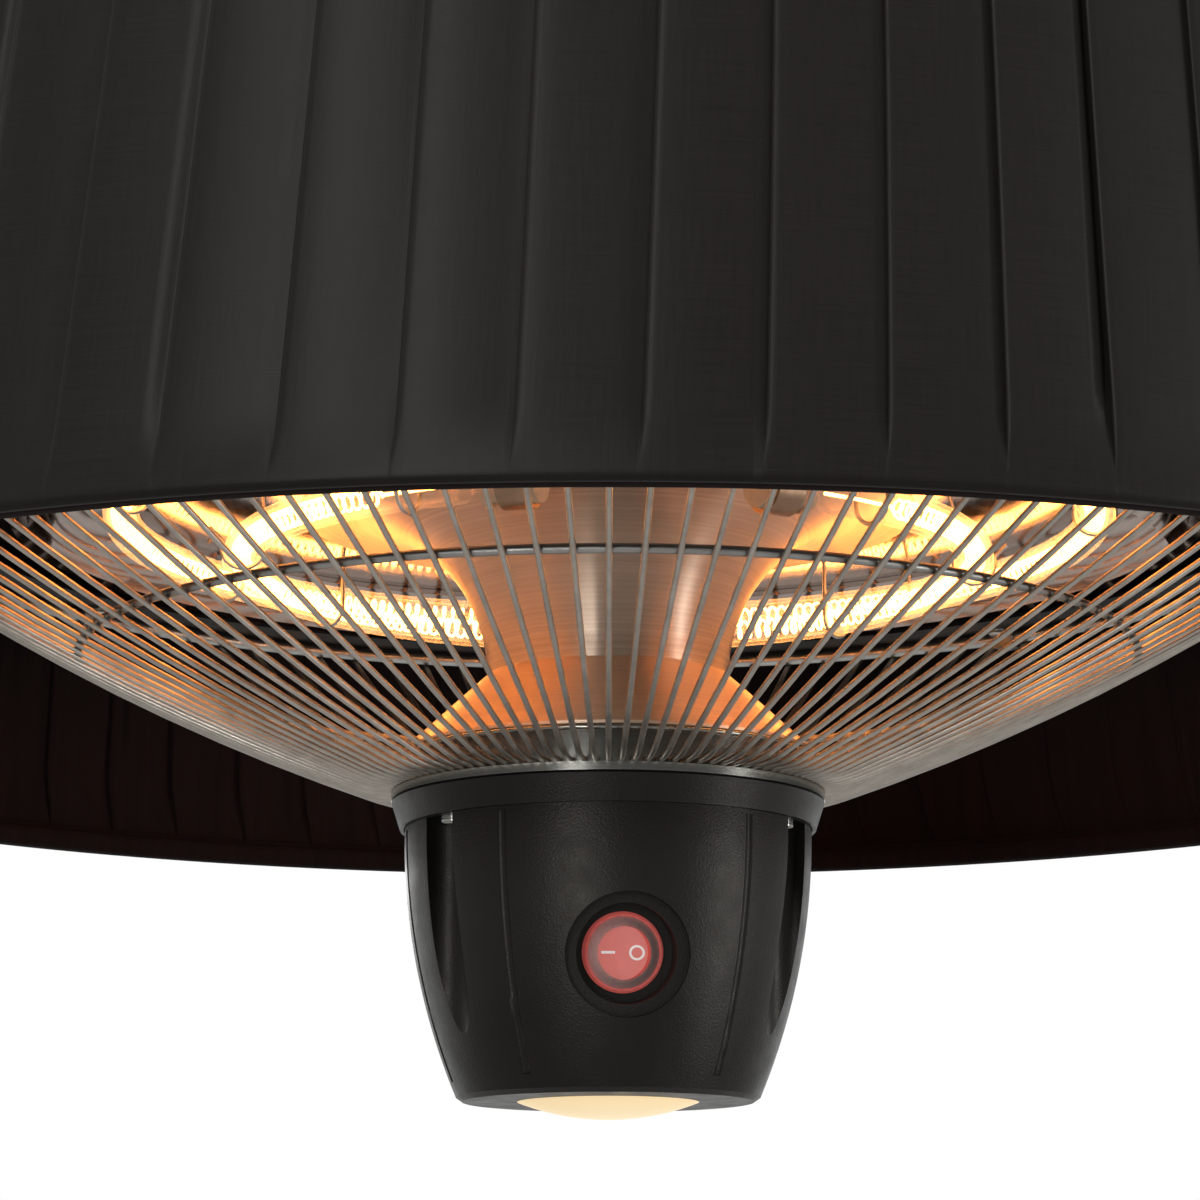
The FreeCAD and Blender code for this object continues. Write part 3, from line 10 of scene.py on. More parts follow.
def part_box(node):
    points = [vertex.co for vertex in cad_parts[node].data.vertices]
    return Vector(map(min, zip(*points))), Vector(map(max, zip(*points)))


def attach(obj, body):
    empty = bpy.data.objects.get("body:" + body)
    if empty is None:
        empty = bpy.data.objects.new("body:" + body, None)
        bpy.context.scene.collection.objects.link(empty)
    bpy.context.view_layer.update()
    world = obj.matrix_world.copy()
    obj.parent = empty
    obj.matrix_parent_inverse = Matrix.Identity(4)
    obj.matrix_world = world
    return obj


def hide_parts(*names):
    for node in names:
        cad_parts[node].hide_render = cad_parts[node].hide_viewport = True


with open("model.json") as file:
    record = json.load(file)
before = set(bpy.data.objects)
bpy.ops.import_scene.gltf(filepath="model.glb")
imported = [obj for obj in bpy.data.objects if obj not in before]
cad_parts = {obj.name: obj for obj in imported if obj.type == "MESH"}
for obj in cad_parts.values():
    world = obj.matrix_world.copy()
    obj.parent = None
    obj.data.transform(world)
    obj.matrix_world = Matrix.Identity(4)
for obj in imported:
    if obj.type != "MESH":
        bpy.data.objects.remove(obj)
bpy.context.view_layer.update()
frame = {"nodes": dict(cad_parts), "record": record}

nodes = frame["nodes"]

# Lengths are in metres, unless a comment says millimetres.

# Shade: a pleated cover stretched between two rings
PLEATS = 76
PLEAT_TWIST = math.radians(1.7)
PLEAT_START = 0.0045
SHADE_BOTTOM_RADIUS = 0.300
SHADE_TOP_RADIUS = 0.266
SHADE_TOP = -0.03805
SHADE_BOTTOM = -0.29805
CLOTH_THICKNESS = 0.0004

# One knife pleat, from its tucked end to the next one's. Its tuck is points of way along the rim and
# depth under the fold, in millimetres. TUCK_FLAT is the way of the same points where a hem pulls the
# tuck flat. Its fall is points of share of the pitch, and depth in millimetres.
PLEAT_TUCK = (
    (-1.6, 1.95), (0.6, 2.15), (2.6, 2.2), (3.3, 1.95), (2.7, 1.7), (0.9, 1.5), (0.05, 1.2),
    (-0.15, 0.8), (0.05, 0.42), (0.7, 0.12), (1.8, 0.02),
)
TUCK_FLAT = (-0.90, -0.80, -0.71, -0.63, -0.55, -0.46, -0.34, -0.15, 0.05, 0.7, 1.8)
PLEAT_FALL = ((0.24, 0.12), (0.42, 0.42), (0.60, 0.85), (0.77, 1.32), (0.89, 1.68))
LEAST_DEPTH = 0.00002

# Lowest and highest of each chance difference between pleats
FULL_TURN = 6.28
CLOTH_SEED = 11
PLEAT_CHANCE = {
    "bottom": (-0.0007, 0.0007),
    "top": (-0.0014, 0.0014),
    "bow": (-0.0010, 0.0010),
    "belly": (-0.0002, 0.0003),
    "depth": (0.72, 1.0),
    "wave": (0.0, 0.00035),
    "phase": (0.0, FULL_TURN),
}
# Each pleat's slow wave turns by this angle over this height
WAVE_ANGLE = 9.0
WAVE_HEIGHT = 0.26
# Cloth between two columns of points, for its weave
CLOTH_STEP = 0.0019

# Rows of the cover: round its edges, close together where the tucks fade out, wider in between
EDGE_ROUND = 0.0028
EDGE_ROWS = 5
EDGE_TURN = 75.0
END_REACH = 0.034
END_ROWS = 15
END_CROWDING = 1.4
MIDDLE_ROWS = 18
HEM_DEPTH = 0.0004
HEM_HEIGHT = 0.0030
TUCK_FADE = 0.0260
RISE_FADE = 0.0150

# Hem tapes, which wander a little from a true circle
BOTTOM_TAPE = 0.0060
TOP_TAPE = 0.0035
TAPE_SEED = 3
TAPE_STEPS = 760
TAPE_WAVES = 8
TAPE_WAVE_COUNT = (5, 60)
TAPE_WAVE_HEIGHT = (0.00002, 0.00005)
TAPE_LIFT = 0.4
TAPE_FREE_POINTS = 8
TAPE_HELD = 0.3

# Heating tubes: the unlit glass at each end is the seal's plug and the filament's straight lead
TUBE_UNLIT = 0.023
TUBE_ENDS = {"inner": math.radians(27.0), "outer": math.radians(20.0)}
TUBE_RADII = {"inner": 0.1017, "outer": 0.1345}
COIL_RADIUS = 0.0025
COIL_WIRE = 0.00048
COIL_PITCH = 0.0030
COIL_TURN_POINTS = 12
COIL_WIRE_SIDES = 6
COIL_TAPER_TURNS = 1.5
# Where the wire's way out from the axis is shorter than this, its section is set upright instead
COIL_LEAST_OUT = 0.3

# Switch: its axes in the housing, and its marks on the rocker's face
SWITCH_ORIGIN = Vector((0.0, -0.0516, -0.3640))
SWITCH_RIGHT = Vector((1.0, 0.0, 0.0))
SWITCH_UP = Vector((0.0, -0.13917, 0.99027))
SWITCH_OUT = Vector((0.0, -0.99027, -0.13917))
DASH_CENTER = -0.0039
DASH_LENGTH = 0.0036
DASH_WIDTH = 0.0007
DASH_COLUMNS = 9
LOOP_CENTER = 0.00355
LOOP_RADIUS = 0.0020
LOOP_LINE = 0.0006
LOOP_COLUMNS = 48
MARK_ROWS = 3
MARK_OVER = 0.00004
MARK_UNDER = -0.00008

# Studio
CAMERA_LENS = 111.06
CAMERA_SENSOR = 36.0
CAMERA_CLIP = 0.05
CAMERA_DISTANCE = 1.005
CAMERA_SIDE = -0.0022
CAMERA_HEIGHT = -0.468
CAMERA_PITCH = 0.204
CAMERA_AZIMUTH = math.radians(5.85)
FLOOR_Z = -3.5
FLOOR_RADIUS = 16.0
FLOOR_SIDES = 128
FLOOR_LIFT = 0.34
WORLD_FILL = 0.22


# Material helpers

class Surface:
    """A procedural material: a Principled shader whose sockets take constants or patterns."""

    def __init__(self, name, color, rough, metal=0.0, **sockets):
        self.mat = bpy.data.materials.new(name)
        self.mat.use_nodes = True
        self.tree = self.mat.node_tree
        self.shader = self.tree.nodes["Principled BSDF"]
        self.color = color
        self.set("Base Color", (*color, 1.0))
        self.set("Roughness", rough)
        self.set("Metallic", metal)
        for socket, value in sockets.items():
            self.set(socket.replace("_", " "), value)

    def set(self, socket, value):
        self.shader.inputs[socket].default_value = value

    def node(self, kind, **props):
        made = self.tree.nodes.new(kind)
        for key, value in props.items():
            setattr(made, key, value)
        return made

    def link(self, a, b):
        self.tree.links.new(a, b)

    def drive(self, value, socket):
        """Lets a pattern set one of the shader's sockets."""
        self.link(value, self.shader.inputs[socket])

    def position(self, output="Object"):
        return self.node("ShaderNodeTexCoord").outputs[output]

    def split(self, vector):
        parts = self.node("ShaderNodeSeparateXYZ")
        self.link(vector, parts.inputs[0])
        return parts.outputs

    def scaled(self, vector, scale):
        made = self.node("ShaderNodeVectorMath", operation="MULTIPLY")
        made.inputs[1].default_value = scale
        self.link(vector, made.inputs[0])
        return made.outputs["Vector"]

    def math(self, operation, a, b=None):
        made = self.node("ShaderNodeMath", operation=operation)
        for socket, value in zip(made.inputs, (a, b)):
            if value is None:
                continue
            if isinstance(value, (int, float)):
                socket.default_value = value
            else:
                self.link(value, socket)
        return made.outputs["Value"]

    def mixed(self, a, b, share):
        """Sum of two patterns, the first with the given share."""
        return self.math("ADD", self.math("MULTIPLY", a, share), self.math("MULTIPLY", b, 1.0 - share))

    def turned(self, vector, radial, axial):
        """Coordinates that only change with radius and height, as lathe marks do."""
        parts = self.split(vector)
        flat = self.node("ShaderNodeCombineXYZ")
        self.link(parts["X"], flat.inputs["X"])
        self.link(parts["Y"], flat.inputs["Y"])
        length = self.node("ShaderNodeVectorMath", operation="LENGTH")
        self.link(flat.outputs["Vector"], length.inputs[0])
        out = self.node("ShaderNodeCombineXYZ")
        self.link(self.math("MULTIPLY", length.outputs["Value"], radial), out.inputs["X"])
        self.link(self.math("MULTIPLY", parts["Z"], axial), out.inputs["Z"])
        return out.outputs["Vector"]

    def noise(self, vector, scale=1.0, detail=3.0, rough=0.55):
        made = self.node("ShaderNodeTexNoise")
        made.inputs["Scale"].default_value = scale
        made.inputs["Detail"].default_value = detail
        made.inputs["Roughness"].default_value = rough
        self.link(vector, made.inputs["Vector"])
        return made.outputs["Fac"]

    def facing(self, blend):
        """0 where the surface faces the eye, 1 where it turns away."""
        made = self.node("ShaderNodeLayerWeight")
        made.inputs["Blend"].default_value = blend
        return made.outputs["Facing"]

    def between(self, value, low, high, from_low=0.3, from_high=0.7):
        made = self.node("ShaderNodeMapRange")
        made.inputs["From Min"].default_value = from_low
        made.inputs["From Max"].default_value = from_high
        made.inputs["To Min"].default_value = low
        made.inputs["To Max"].default_value = high
        self.link(value, made.inputs["Value"])
        return made.outputs["Result"]

    def shades(self, value, dark, light, low=0.3, high=0.7):
        ramp = self.node("ShaderNodeValToRGB")
        for stop, place, color in zip(ramp.color_ramp.elements, (low, high), (dark, light)):
            stop.position = place
            stop.color = (*color, 1.0)
        self.link(value, ramp.inputs["Fac"])
        return ramp.outputs["Color"]

    def mottled(self, value, spread, low=0.3, high=0.7):
        """Base colour that wanders a little darker and lighter round its own."""
        dark = tuple(c * (1.0 - spread) for c in self.color)
        light = tuple(min(1.0, c * (1.0 + spread)) for c in self.color)
        self.drive(self.shades(value, dark, light, low, high), "Base Color")

    def roughened(self, value, low, high):
        self.drive(self.between(value, low, high), "Roughness")

    def bumped(self, value, distance, strength=1.0):
        made = self.node("ShaderNodeBump")
        made.inputs["Strength"].default_value = strength
        made.inputs["Distance"].default_value = distance
        self.link(value, made.inputs["Height"])
        below = self.shader.inputs["Normal"].links
        if below:
            self.link(below[0].from_socket, made.inputs["Normal"])
        self.drive(made.outputs["Normal"], "Normal")

    def round_grain(self):
        """Tangent round the upright axis, for turned metal's stretched highlights."""
        made = self.node("ShaderNodeTangent", direction_type="RADIAL", axis="Z")
        self.drive(made.outputs["Tangent"], "Tangent")


# Materials

def painted(name, color, rough, grain, depth, **sockets):
    """Coated metal or moulded plastic with a fine skin."""
    s = Surface(name, color, rough, **sockets)
    p = s.position()
    s.mottled(s.noise(p, scale=45.0), spread=0.18)
    s.roughened(s.noise(p, scale=160.0), rough - 0.05, rough + 0.06)
    s.bumped(s.noise(p, scale=grain, detail=2.0), depth)
    return s.mat


def drawn_metal(name, color, rough):
    """Plated wire and small steel parts: cloudy plating with fine scratches."""
    s = Surface(name, color, rough, metal=1.0)
    p = s.position()
    s.mottled(s.noise(p, scale=130.0, detail=4.0), spread=0.16)
    s.roughened(s.noise(p, scale=700.0, detail=2.0), rough - 0.06, rough + 0.08)
    scratches = s.noise(s.scaled(p, (1.0, 1.0, 0.3)), scale=1500.0, detail=2.0)
    s.bumped(scratches, distance=0.00002)
    return s.mat


def turned_metal(name, color, rough, radial, axial, depth, aniso, spread=0.1):
    """Spun or brushed sheet: fine marks round the axis stretch highlights across themselves."""
    s = Surface(name, color, rough, metal=1.0, Anisotropic=aniso, Anisotropic_Rotation=0.25)
    p = s.position()
    marks = s.noise(s.turned(p, radial, axial), detail=5.0, rough=0.7)
    cloud = s.noise(p, scale=28.0)
    s.mottled(s.mixed(marks, cloud, share=0.65), spread, low=0.38, high=0.62)
    s.roughened(s.noise(s.turned(p, radial * 0.2, axial * 0.2)), rough - 0.03, rough + 0.05)
    s.bumped(marks, depth)
    s.round_grain()
    return s.mat


def cloth_material():
    """Outer side of the cover: dark woven cloth with a faint sheen."""
    s = Surface("shade_cloth", (0.0100, 0.0086, 0.0076), rough=0.40, Specular_IOR_Level=0.08,
                Sheen_Weight=0.02, Sheen_Roughness=0.45, Sheen_Tint=(0.75, 0.70, 0.66, 1.0))
    uv = s.position("UV")
    weft = s.noise(s.scaled(uv, (90.0, 2600.0, 1.0)), detail=2.0)
    warp = s.noise(s.scaled(uv, (2600.0, 70.0, 1.0)), detail=2.0)
    threads = s.mixed(weft, warp, share=0.6)
    wide = s.noise(s.scaled(uv, (14.0, 5.0, 1.0)))
    s.mottled(s.mixed(threads, wide, share=0.65), spread=0.22, low=0.36, high=0.64)
    s.roughened(threads, low=0.34, high=0.44)
    s.bumped(threads, distance=0.00012, strength=0.5)
    s.bumped(wide, distance=0.0006, strength=0.25)
    return s.mat


def shaded_cloth_material():
    """Inner side of the cover: the same cloth, painted darker and a little brown as painted shade."""
    s = Surface("cloth_painted_shade", (0.0080, 0.0045, 0.0037), rough=0.85, Specular_IOR_Level=0.06)
    uv = s.position("UV")
    s.mottled(s.noise(s.scaled(uv, (400.0, 12.0, 1.0))), spread=0.3)
    threads = s.noise(s.scaled(uv, (2600.0, 70.0, 1.0)), detail=2.0)
    s.bumped(threads, distance=0.0001, strength=0.6)
    return s.mat


def cap_material():
    """Soft clear cover: see-through where it faces the eye, milky where its walls turn away."""
    s = Surface("cap_clear", (0.43, 0.42, 0.39), rough=0.30, Specular_IOR_Level=0.3)
    dense = s.between(s.facing(blend=0.5), low=0.06, high=0.84, from_low=0.10, from_high=0.55)
    s.drive(dense, "Alpha")
    p = s.position()
    s.mottled(s.noise(p, scale=900.0, detail=2.0), spread=0.12)
    s.bumped(s.noise(p, scale=180.0, detail=2.0), distance=0.00004)
    return s.mat


def quartz_material(name, unlit):
    """Clear tube, denser towards its edges, with a painted orange glow where the filament in it is lit.
    """
    s = Surface(name, (0.95, 0.88, 0.78), rough=0.08, Specular_IOR_Level=0.6, Emission_Strength=1.0)
    p = s.position()
    parts = s.split(p)
    azimuth = s.math("ARCTAN2", parts["X"], s.math("MULTIPLY", parts["Y"], -1.0))
    lit = s.between(s.math("ABSOLUTE", azimuth), low=0.0, high=1.0, from_low=unlit - 0.04,
                    from_high=unlit + 0.03)
    # Painted glow: the glass is no lamp, this emission stands in for the filament's light seen in it.
    glow = s.shades(lit, (0.0, 0.0, 0.0), (1.0, 0.52, 0.18), low=0.0, high=1.0)
    s.drive(glow, "Emission Color")
    dense = s.between(s.facing(blend=0.35), low=0.02, high=0.32, from_low=0.2, from_high=0.95)
    s.drive(dense, "Alpha")
    s.bumped(s.noise(p, scale=180.0, detail=2.0), distance=0.00004)
    return s.mat


def filament_material():
    """Glowing wire, a little cooler in places."""
    hot = (1.0, 0.345, 0.07)
    s = Surface("filament", (0.3, 0.2, 0.1), rough=0.5, Emission_Strength=19.5)
    cooling = (0.95, 0.88, 0.75)
    dim = tuple(c * f for c, f in zip(hot, cooling))
    heat = s.noise(s.position(), scale=220.0, detail=2.0)
    s.drive(s.shades(heat, dim, hot), "Emission Color")
    return s.mat


def lens_material():
    """Frosted lamp lens, brightest at its middle."""
    s = Surface("lens_warm", (0.80, 0.66, 0.44), rough=0.35, Emission_Strength=0.62)
    p = s.position()
    reach = s.split(s.turned(p, radial=40.0, axial=0.0))["X"]
    glow = s.shades(reach, (1.0, 0.80, 0.47), (0.93, 0.66, 0.31), low=0.2, high=0.98)
    s.drive(glow, "Emission Color")
    s.bumped(s.noise(p, scale=900.0, detail=2.0), distance=0.00005)
    return s.mat


def braid_material():
    """Woven glass sleeve of the leads."""
    s = Surface("lead_sleeve", (0.62, 0.58, 0.50), rough=0.75)
    p = s.position()
    s.mottled(s.noise(p, scale=900.0, detail=2.0), spread=0.2)
    s.bumped(s.noise(p, scale=1800.0, detail=1.0), distance=0.0001)
    return s.mat


def ceramic_material():
    """Unglazed ceramic: its pale colour is its own, its warm orange tint is painted light from the
    tubes.
    """
    s = Surface("ceramic", (0.64, 0.50, 0.36), rough=0.55)
    p = s.position()
    s.mottled(s.noise(p, scale=240.0, detail=4.0), spread=0.1)
    s.roughened(s.noise(p, scale=420.0), low=0.48, high=0.62)
    s.bumped(s.noise(p, scale=1400.0), distance=0.00003)
    return s.mat


def red_material(name, color, glow):
    """Red plastic with the switch's lamp behind it."""
    s = Surface(name, color, rough=0.48, Specular_IOR_Level=0.3, Emission_Strength=glow,
                Emission_Color=(*color, 1.0))
    p = s.position()
    s.mottled(s.noise(p, scale=300.0), spread=0.1)
    s.bumped(s.noise(p, scale=1200.0, detail=2.0), distance=0.00002)
    return s.mat


def unlit_end(tube):
    """Azimuth, from the front, at which a tube's filament starts to glow."""
    return TUBE_ENDS[tube] + TUBE_UNLIT / TUBE_RADII[tube]


looks = {
    "shade_cloth": cloth_material(),
    "cloth_painted_shade": shaded_cloth_material(),
    "frame_black": painted("frame_black", (0.016, 0.016, 0.016), rough=0.42, grain=900.0,
                           depth=0.00005),
    "casing_black": painted("casing_black", (0.012, 0.0115, 0.011), rough=0.5, grain=1400.0,
                            depth=0.00006, Specular_IOR_Level=0.35),
    "steel_zinc": drawn_metal("steel_zinc", (0.42, 0.42, 0.40), rough=0.34),
    "guard_wire": drawn_metal("guard_wire", (0.37, 0.338, 0.298), rough=0.36),
    "steel_polished": turned_metal("steel_polished", (0.25, 0.25, 0.23), rough=0.20, radial=500.0,
                                   axial=2200.0, depth=0.000004, aniso=0.3),
    # The aluminium looks' grey is the metal's own, but their warm orange tint is painted light from the
    # heating tubes; the skirt's lighter tone than the column's is painted light as well.
    "reflector_aluminium": turned_metal("reflector_aluminium", (0.46, 0.37, 0.32), rough=0.08,
                                        radial=900.0, axial=300.0, depth=0.000002, aniso=0.2),
    "column_aluminium": turned_metal("column_aluminium", (0.435, 0.34, 0.265), rough=0.38, radial=700.0,
                                     axial=1500.0, depth=0.000012, aniso=0.92, spread=0.16),
    "skirt_aluminium": turned_metal("skirt_aluminium", (0.66, 0.51, 0.38), rough=0.46, radial=900.0,
                                    axial=1500.0, depth=0.000012, aniso=0.75, spread=0.12),
    # The middle ring's look is a darker copy of the wire metal: painted shade on its shadowed upper
    # side.
    "ring_dark": drawn_metal("ring_dark", (0.28, 0.27, 0.255), rough=0.42),
    "strap_steel": drawn_metal("strap_steel", (0.30, 0.205, 0.135), rough=0.42),
    "quartz_inner": quartz_material("quartz_inner", unlit_end("inner")),
    "quartz_outer": quartz_material("quartz_outer", unlit_end("outer")),
    "filament": filament_material(),
    "ceramic": ceramic_material(),
    "lead_sleeve": braid_material(),
    # The housing's warm specular tint paints a warm colour into the highlights of the white softboxes.
    "housing_plastic": painted("housing_plastic", (0.0068, 0.0065, 0.0058), rough=0.36, grain=1900.0,
                               depth=0.00009, Specular_IOR_Level=0.17,
                               Specular_Tint=(1.0, 0.94, 0.85, 1.0)),
    "switch_red": red_material("switch_red", (0.56, 0.10, 0.085), glow=0.34),
    "rocker_red": red_material("rocker_red", (0.57, 0.135, 0.115), glow=0.52),
    "cap_clear": cap_material(),
    "brass": drawn_metal("brass", (0.60, 0.42, 0.18), rough=0.3),
    "lens_warm": lens_material(),
    "board_white": painted("board_white", (0.62, 0.62, 0.58), rough=0.45, grain=900.0, depth=0.00002),
    "gland_plastic": painted("gland_plastic", (0.014, 0.014, 0.014), rough=0.5, grain=1600.0,
                             depth=0.00005),
    "mark_white": painted("mark_white", (0.86, 0.76, 0.72), rough=0.5, grain=1500.0, depth=0.00001,
                          Emission_Strength=0.3),
}

# Nodes whose look differs from the rest of their record slot; the middle ring's darker look is painted
# shade, the skirt's lighter look and the quartz glow are painted light
OWN_LOOKS = {
    "guard_wires": "guard_wire",
    "guard_middle_ring": "ring_dark",
    "column_skirt": "skirt_aluminium",
    "switch_rocker": "rocker_red",
    "tube_holders": "strap_steel",
    "heating_tube_inner": "quartz_inner",
    "heating_tube_outer": "quartz_outer",
}


def dress_frame():
    """Gives every CAD node its own look, or else the one of its record slot."""
    slot_of = {part["node"]: part["material_slot"] for part in frame["record"]["subparts"]}
    for name, obj in nodes.items():
        obj.data.materials.clear()
        obj.data.materials.append(looks[OWN_LOOKS.get(name, slot_of[name])])


# Mesh helpers

def add_mesh(name, verts, faces, look, smooth=True):
    mesh = bpy.data.meshes.new(name)
    mesh.from_pydata(verts, [], faces)
    mesh.polygons.foreach_set("use_smooth", [smooth] * len(faces))
    mesh.materials.append(looks[look])
    mesh.validate()
    mesh.update()
    obj = bpy.data.objects.new(name, mesh)
    bpy.context.scene.collection.objects.link(obj)
    return obj


def at(azimuth, radius, z):
    """Point at an azimuth from the switch side, a radius and a height."""
    return (radius * math.sin(azimuth), -radius * math.cos(azimuth), z)


def grid_faces(rows, columns, closed):
    """Quads of a grid of points, row by row; a closed grid joins its last column to its first."""
    span = columns if closed else columns - 1
    faces = []
    for r in range(rows - 1):
        for c in range(span):
            low = r * columns
            high = low + columns
            following = (c + 1) % columns
            faces.append((low + c, low + following, high + following, high + c))
    return faces


def lay_uv(obj, values):
    """UV map from one pair for each vertex."""
    layer = obj.data.uv_layers.new(name="UVMap")
    for loop in obj.data.loops:
        layer.data[loop.index].uv = values[loop.vertex_index]


def smooth_step(x):
    x = max(0.0, min(1.0, x))
    return x * x * (3.0 - 2.0 * x)


# Pleated shade

def shade_radius(z):
    share = (z - SHADE_BOTTOM) / (SHADE_TOP - SHADE_BOTTOM)
    return SHADE_BOTTOM_RADIUS + (SHADE_TOP_RADIUS - SHADE_BOTTOM_RADIUS) * share


def pleat_points(pitch, belly, depth, tucked, raised):
    """Points of one pleat, as (way, depth): towards a hem its tuck pulls out and its ridge sinks."""
    points = []
    for (s, d), level in zip(PLEAT_TUCK, TUCK_FLAT):
        points.append(((level + (s - level) * tucked) / 1000.0, d / 1000.0))
    points += [(f * pitch, d / 1000.0 - belly * math.sin(math.pi * f)) for f, d in PLEAT_FALL]
    return [(s, HEM_DEPTH + (max(LEAST_DEPTH, d * depth) - HEM_DEPTH) * raised) for s, d in points]


def cloth_rows():
    """Rows of the cover from its bottom edge up, as (share of the height, height, set-in at an edge)."""
    low = SHADE_BOTTOM + EDGE_ROUND
    high = SHADE_TOP - EDGE_ROUND
    span = high - low
    turns = [math.radians(EDGE_TURN * (EDGE_ROWS - r) / EDGE_ROWS) for r in range(EDGE_ROWS)]
    ends = [END_REACH * (r / END_ROWS) ** END_CROWDING for r in range(END_ROWS)]
    reach = span - 2.0 * END_REACH
    middle = [END_REACH + reach * r / MIDDLE_ROWS for r in range(MIDDLE_ROWS + 1)]
    rows = [(0.0, low - EDGE_ROUND * math.sin(a), EDGE_ROUND * (1.0 - math.cos(a))) for a in turns]
    for rise in ends + middle + [span - e for e in ends[::-1]]:
        rows.append((rise / span, low + rise, 0.0))
    for a in turns[::-1]:
        rows.append((1.0, high + EDGE_ROUND * math.sin(a), EDGE_ROUND * (1.0 - math.cos(a))))
    return rows


def make_cloth():
    """The pleated cover as one continuous cloth, each fold a little different from the next."""
    rng = random.Random(CLOTH_SEED)
    pleats = [
        {key: rng.uniform(*limits) for key, limits in PLEAT_CHANCE.items()} for _ in range(PLEATS)
    ]
    per_pleat = len(PLEAT_TUCK) + len(PLEAT_FALL)
    step = 2.0 * math.pi / PLEATS
    rows = cloth_rows()
    verts = []
    uvs = []
    for t, z, set_in in rows:
        edge = min(z - SHADE_BOTTOM, SHADE_TOP - z)
        tucked = smooth_step((edge - HEM_HEIGHT) / TUCK_FADE)
        raised = smooth_step((edge - HEM_HEIGHT) / RISE_FADE)
        fold = shade_radius(z)
        pitch = fold * step
        lean = PLEAT_TWIST * (t - 0.5)
        for i, p in enumerate(pleats):
            shift = p["bottom"] + (p["top"] - p["bottom"]) * t + p["bow"] * math.sin(math.pi * t)
            swell = 0.5 + 0.5 * math.sin(WAVE_ANGLE * z / WAVE_HEIGHT + p["phase"])
            points = pleat_points(pitch, p["belly"], p["depth"], tucked, raised)
            for j, (s, d) in enumerate(points):
                ripple = p["wave"] * swell * math.sin(math.pi * j / per_pleat)
                azimuth = i * step + lean + (PLEAT_START + s + shift) / fold
                verts.append(at(azimuth, fold - set_in - d - ripple * raised, z))
                uvs.append(((i * per_pleat + j) * CLOTH_STEP, z))
    faces = grid_faces(len(rows), PLEATS * per_pleat, True)
    cloth = add_mesh("pleated_cloth", verts, faces, "shade_cloth")
    cloth.data.materials.append(looks["cloth_painted_shade"])
    lay_uv(cloth, uvs)
    thick = cloth.modifiers.new("thickness", "SOLIDIFY")
    thick.thickness = CLOTH_THICKNESS
    thick.offset = -1.0
    # The inner side takes the darker cloth with painted shade.
    thick.material_offset = 1
    return cloth


def make_hem(name, edge, sign, inner_height):
    """Cloth tape behind the cover's turned edge: a soft U over the ring wire, with no band outside."""
    # Points of inset from the cover's folds and rise from its edge: down outside, up inside and back
    profile = [
        (0.0022, 0.0085), (0.0022, 0.0060), (0.0020, 0.0040), (0.0018, 0.0024), (0.0019, 0.0014),
        (0.0024, 0.0006), (0.0032, 0.0002), (0.0044, 0.0001), (0.0062, 0.0000), (0.0074, 0.0002),
        (0.0082, 0.0008), (0.0084, 0.0018), (0.0084, 0.6 * inner_height), (0.0083, inner_height),
        (0.0079, inner_height), (0.0078, 0.0022), (0.0070, 0.0010), (0.0044, 0.0008), (0.0034, 0.0009),
        (0.0028, 0.0012), (0.0024, 0.0020), (0.0025, 0.0040), (0.0027, 0.0060), (0.0027, 0.0085),
    ]
    rng = random.Random(TAPE_SEED)
    waves = [
        (rng.randint(*TAPE_WAVE_COUNT), rng.uniform(0.0, FULL_TURN), rng.uniform(*TAPE_WAVE_HEIGHT))
        for _ in range(TAPE_WAVES)
    ]
    verts = []
    uvs = []
    for k, (inset, rise) in enumerate(profile):
        z = edge + sign * rise
        free = 1.0 if k < TAPE_FREE_POINTS else TAPE_HELD
        for c in range(TAPE_STEPS):
            a = 2.0 * math.pi * c / TAPE_STEPS
            wander = sum(height * math.sin(count * a + phase) for count, phase, height in waves)
            lift = sign * abs(wander) * TAPE_LIFT * free
            verts.append(at(a, shade_radius(z) - inset + wander * free, z + lift))
            uvs.append((a * SHADE_BOTTOM_RADIUS, z + inset))
    rows = len(profile)
    faces = grid_faces(rows, TAPE_STEPS, True)
    last = (rows - 1) * TAPE_STEPS
    for c in range(TAPE_STEPS):
        following = (c + 1) % TAPE_STEPS
        faces.append((last + c, last + following, following, c))
    if sign < 0:
        faces = [f[::-1] for f in faces]
    # The hem tapes take the same darker cloth with painted shade.
    hem = add_mesh(name, verts, faces, "cloth_painted_shade")
    lay_uv(hem, uvs)
    return hem


# Wound filaments

def coil_line(tube):
    """Middle line of a filament: a straight lead, the winding along the bent tube, a straight lead."""
    low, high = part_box("filament_" + tube)
    z = (low.z + high.z) / 2.0
    radius = TUBE_RADII[tube]
    end = TUBE_ENDS[tube]
    first = unlit_end(tube)
    span = 2.0 * (math.pi - first)
    turns = round(span * radius / COIL_PITCH)
    count = turns * COIL_TURN_POINTS
    line = [at(a, radius, z) for a in (end, (end + first) / 2.0)]
    for i in range(count + 1):
        turn = i / COIL_TURN_POINTS
        spin = 2.0 * math.pi * turn
        curl = COIL_RADIUS * smooth_step(min(turn, turns - turn) / COIL_TAPER_TURNS)
        azimuth = first + span * i / count
        line.append(at(azimuth, radius + curl * math.cos(spin), z + curl * math.sin(spin)))
    line += [at(-a, radius, z) for a in ((end + first) / 2.0, end)]
    return [Vector(p) for p in line]


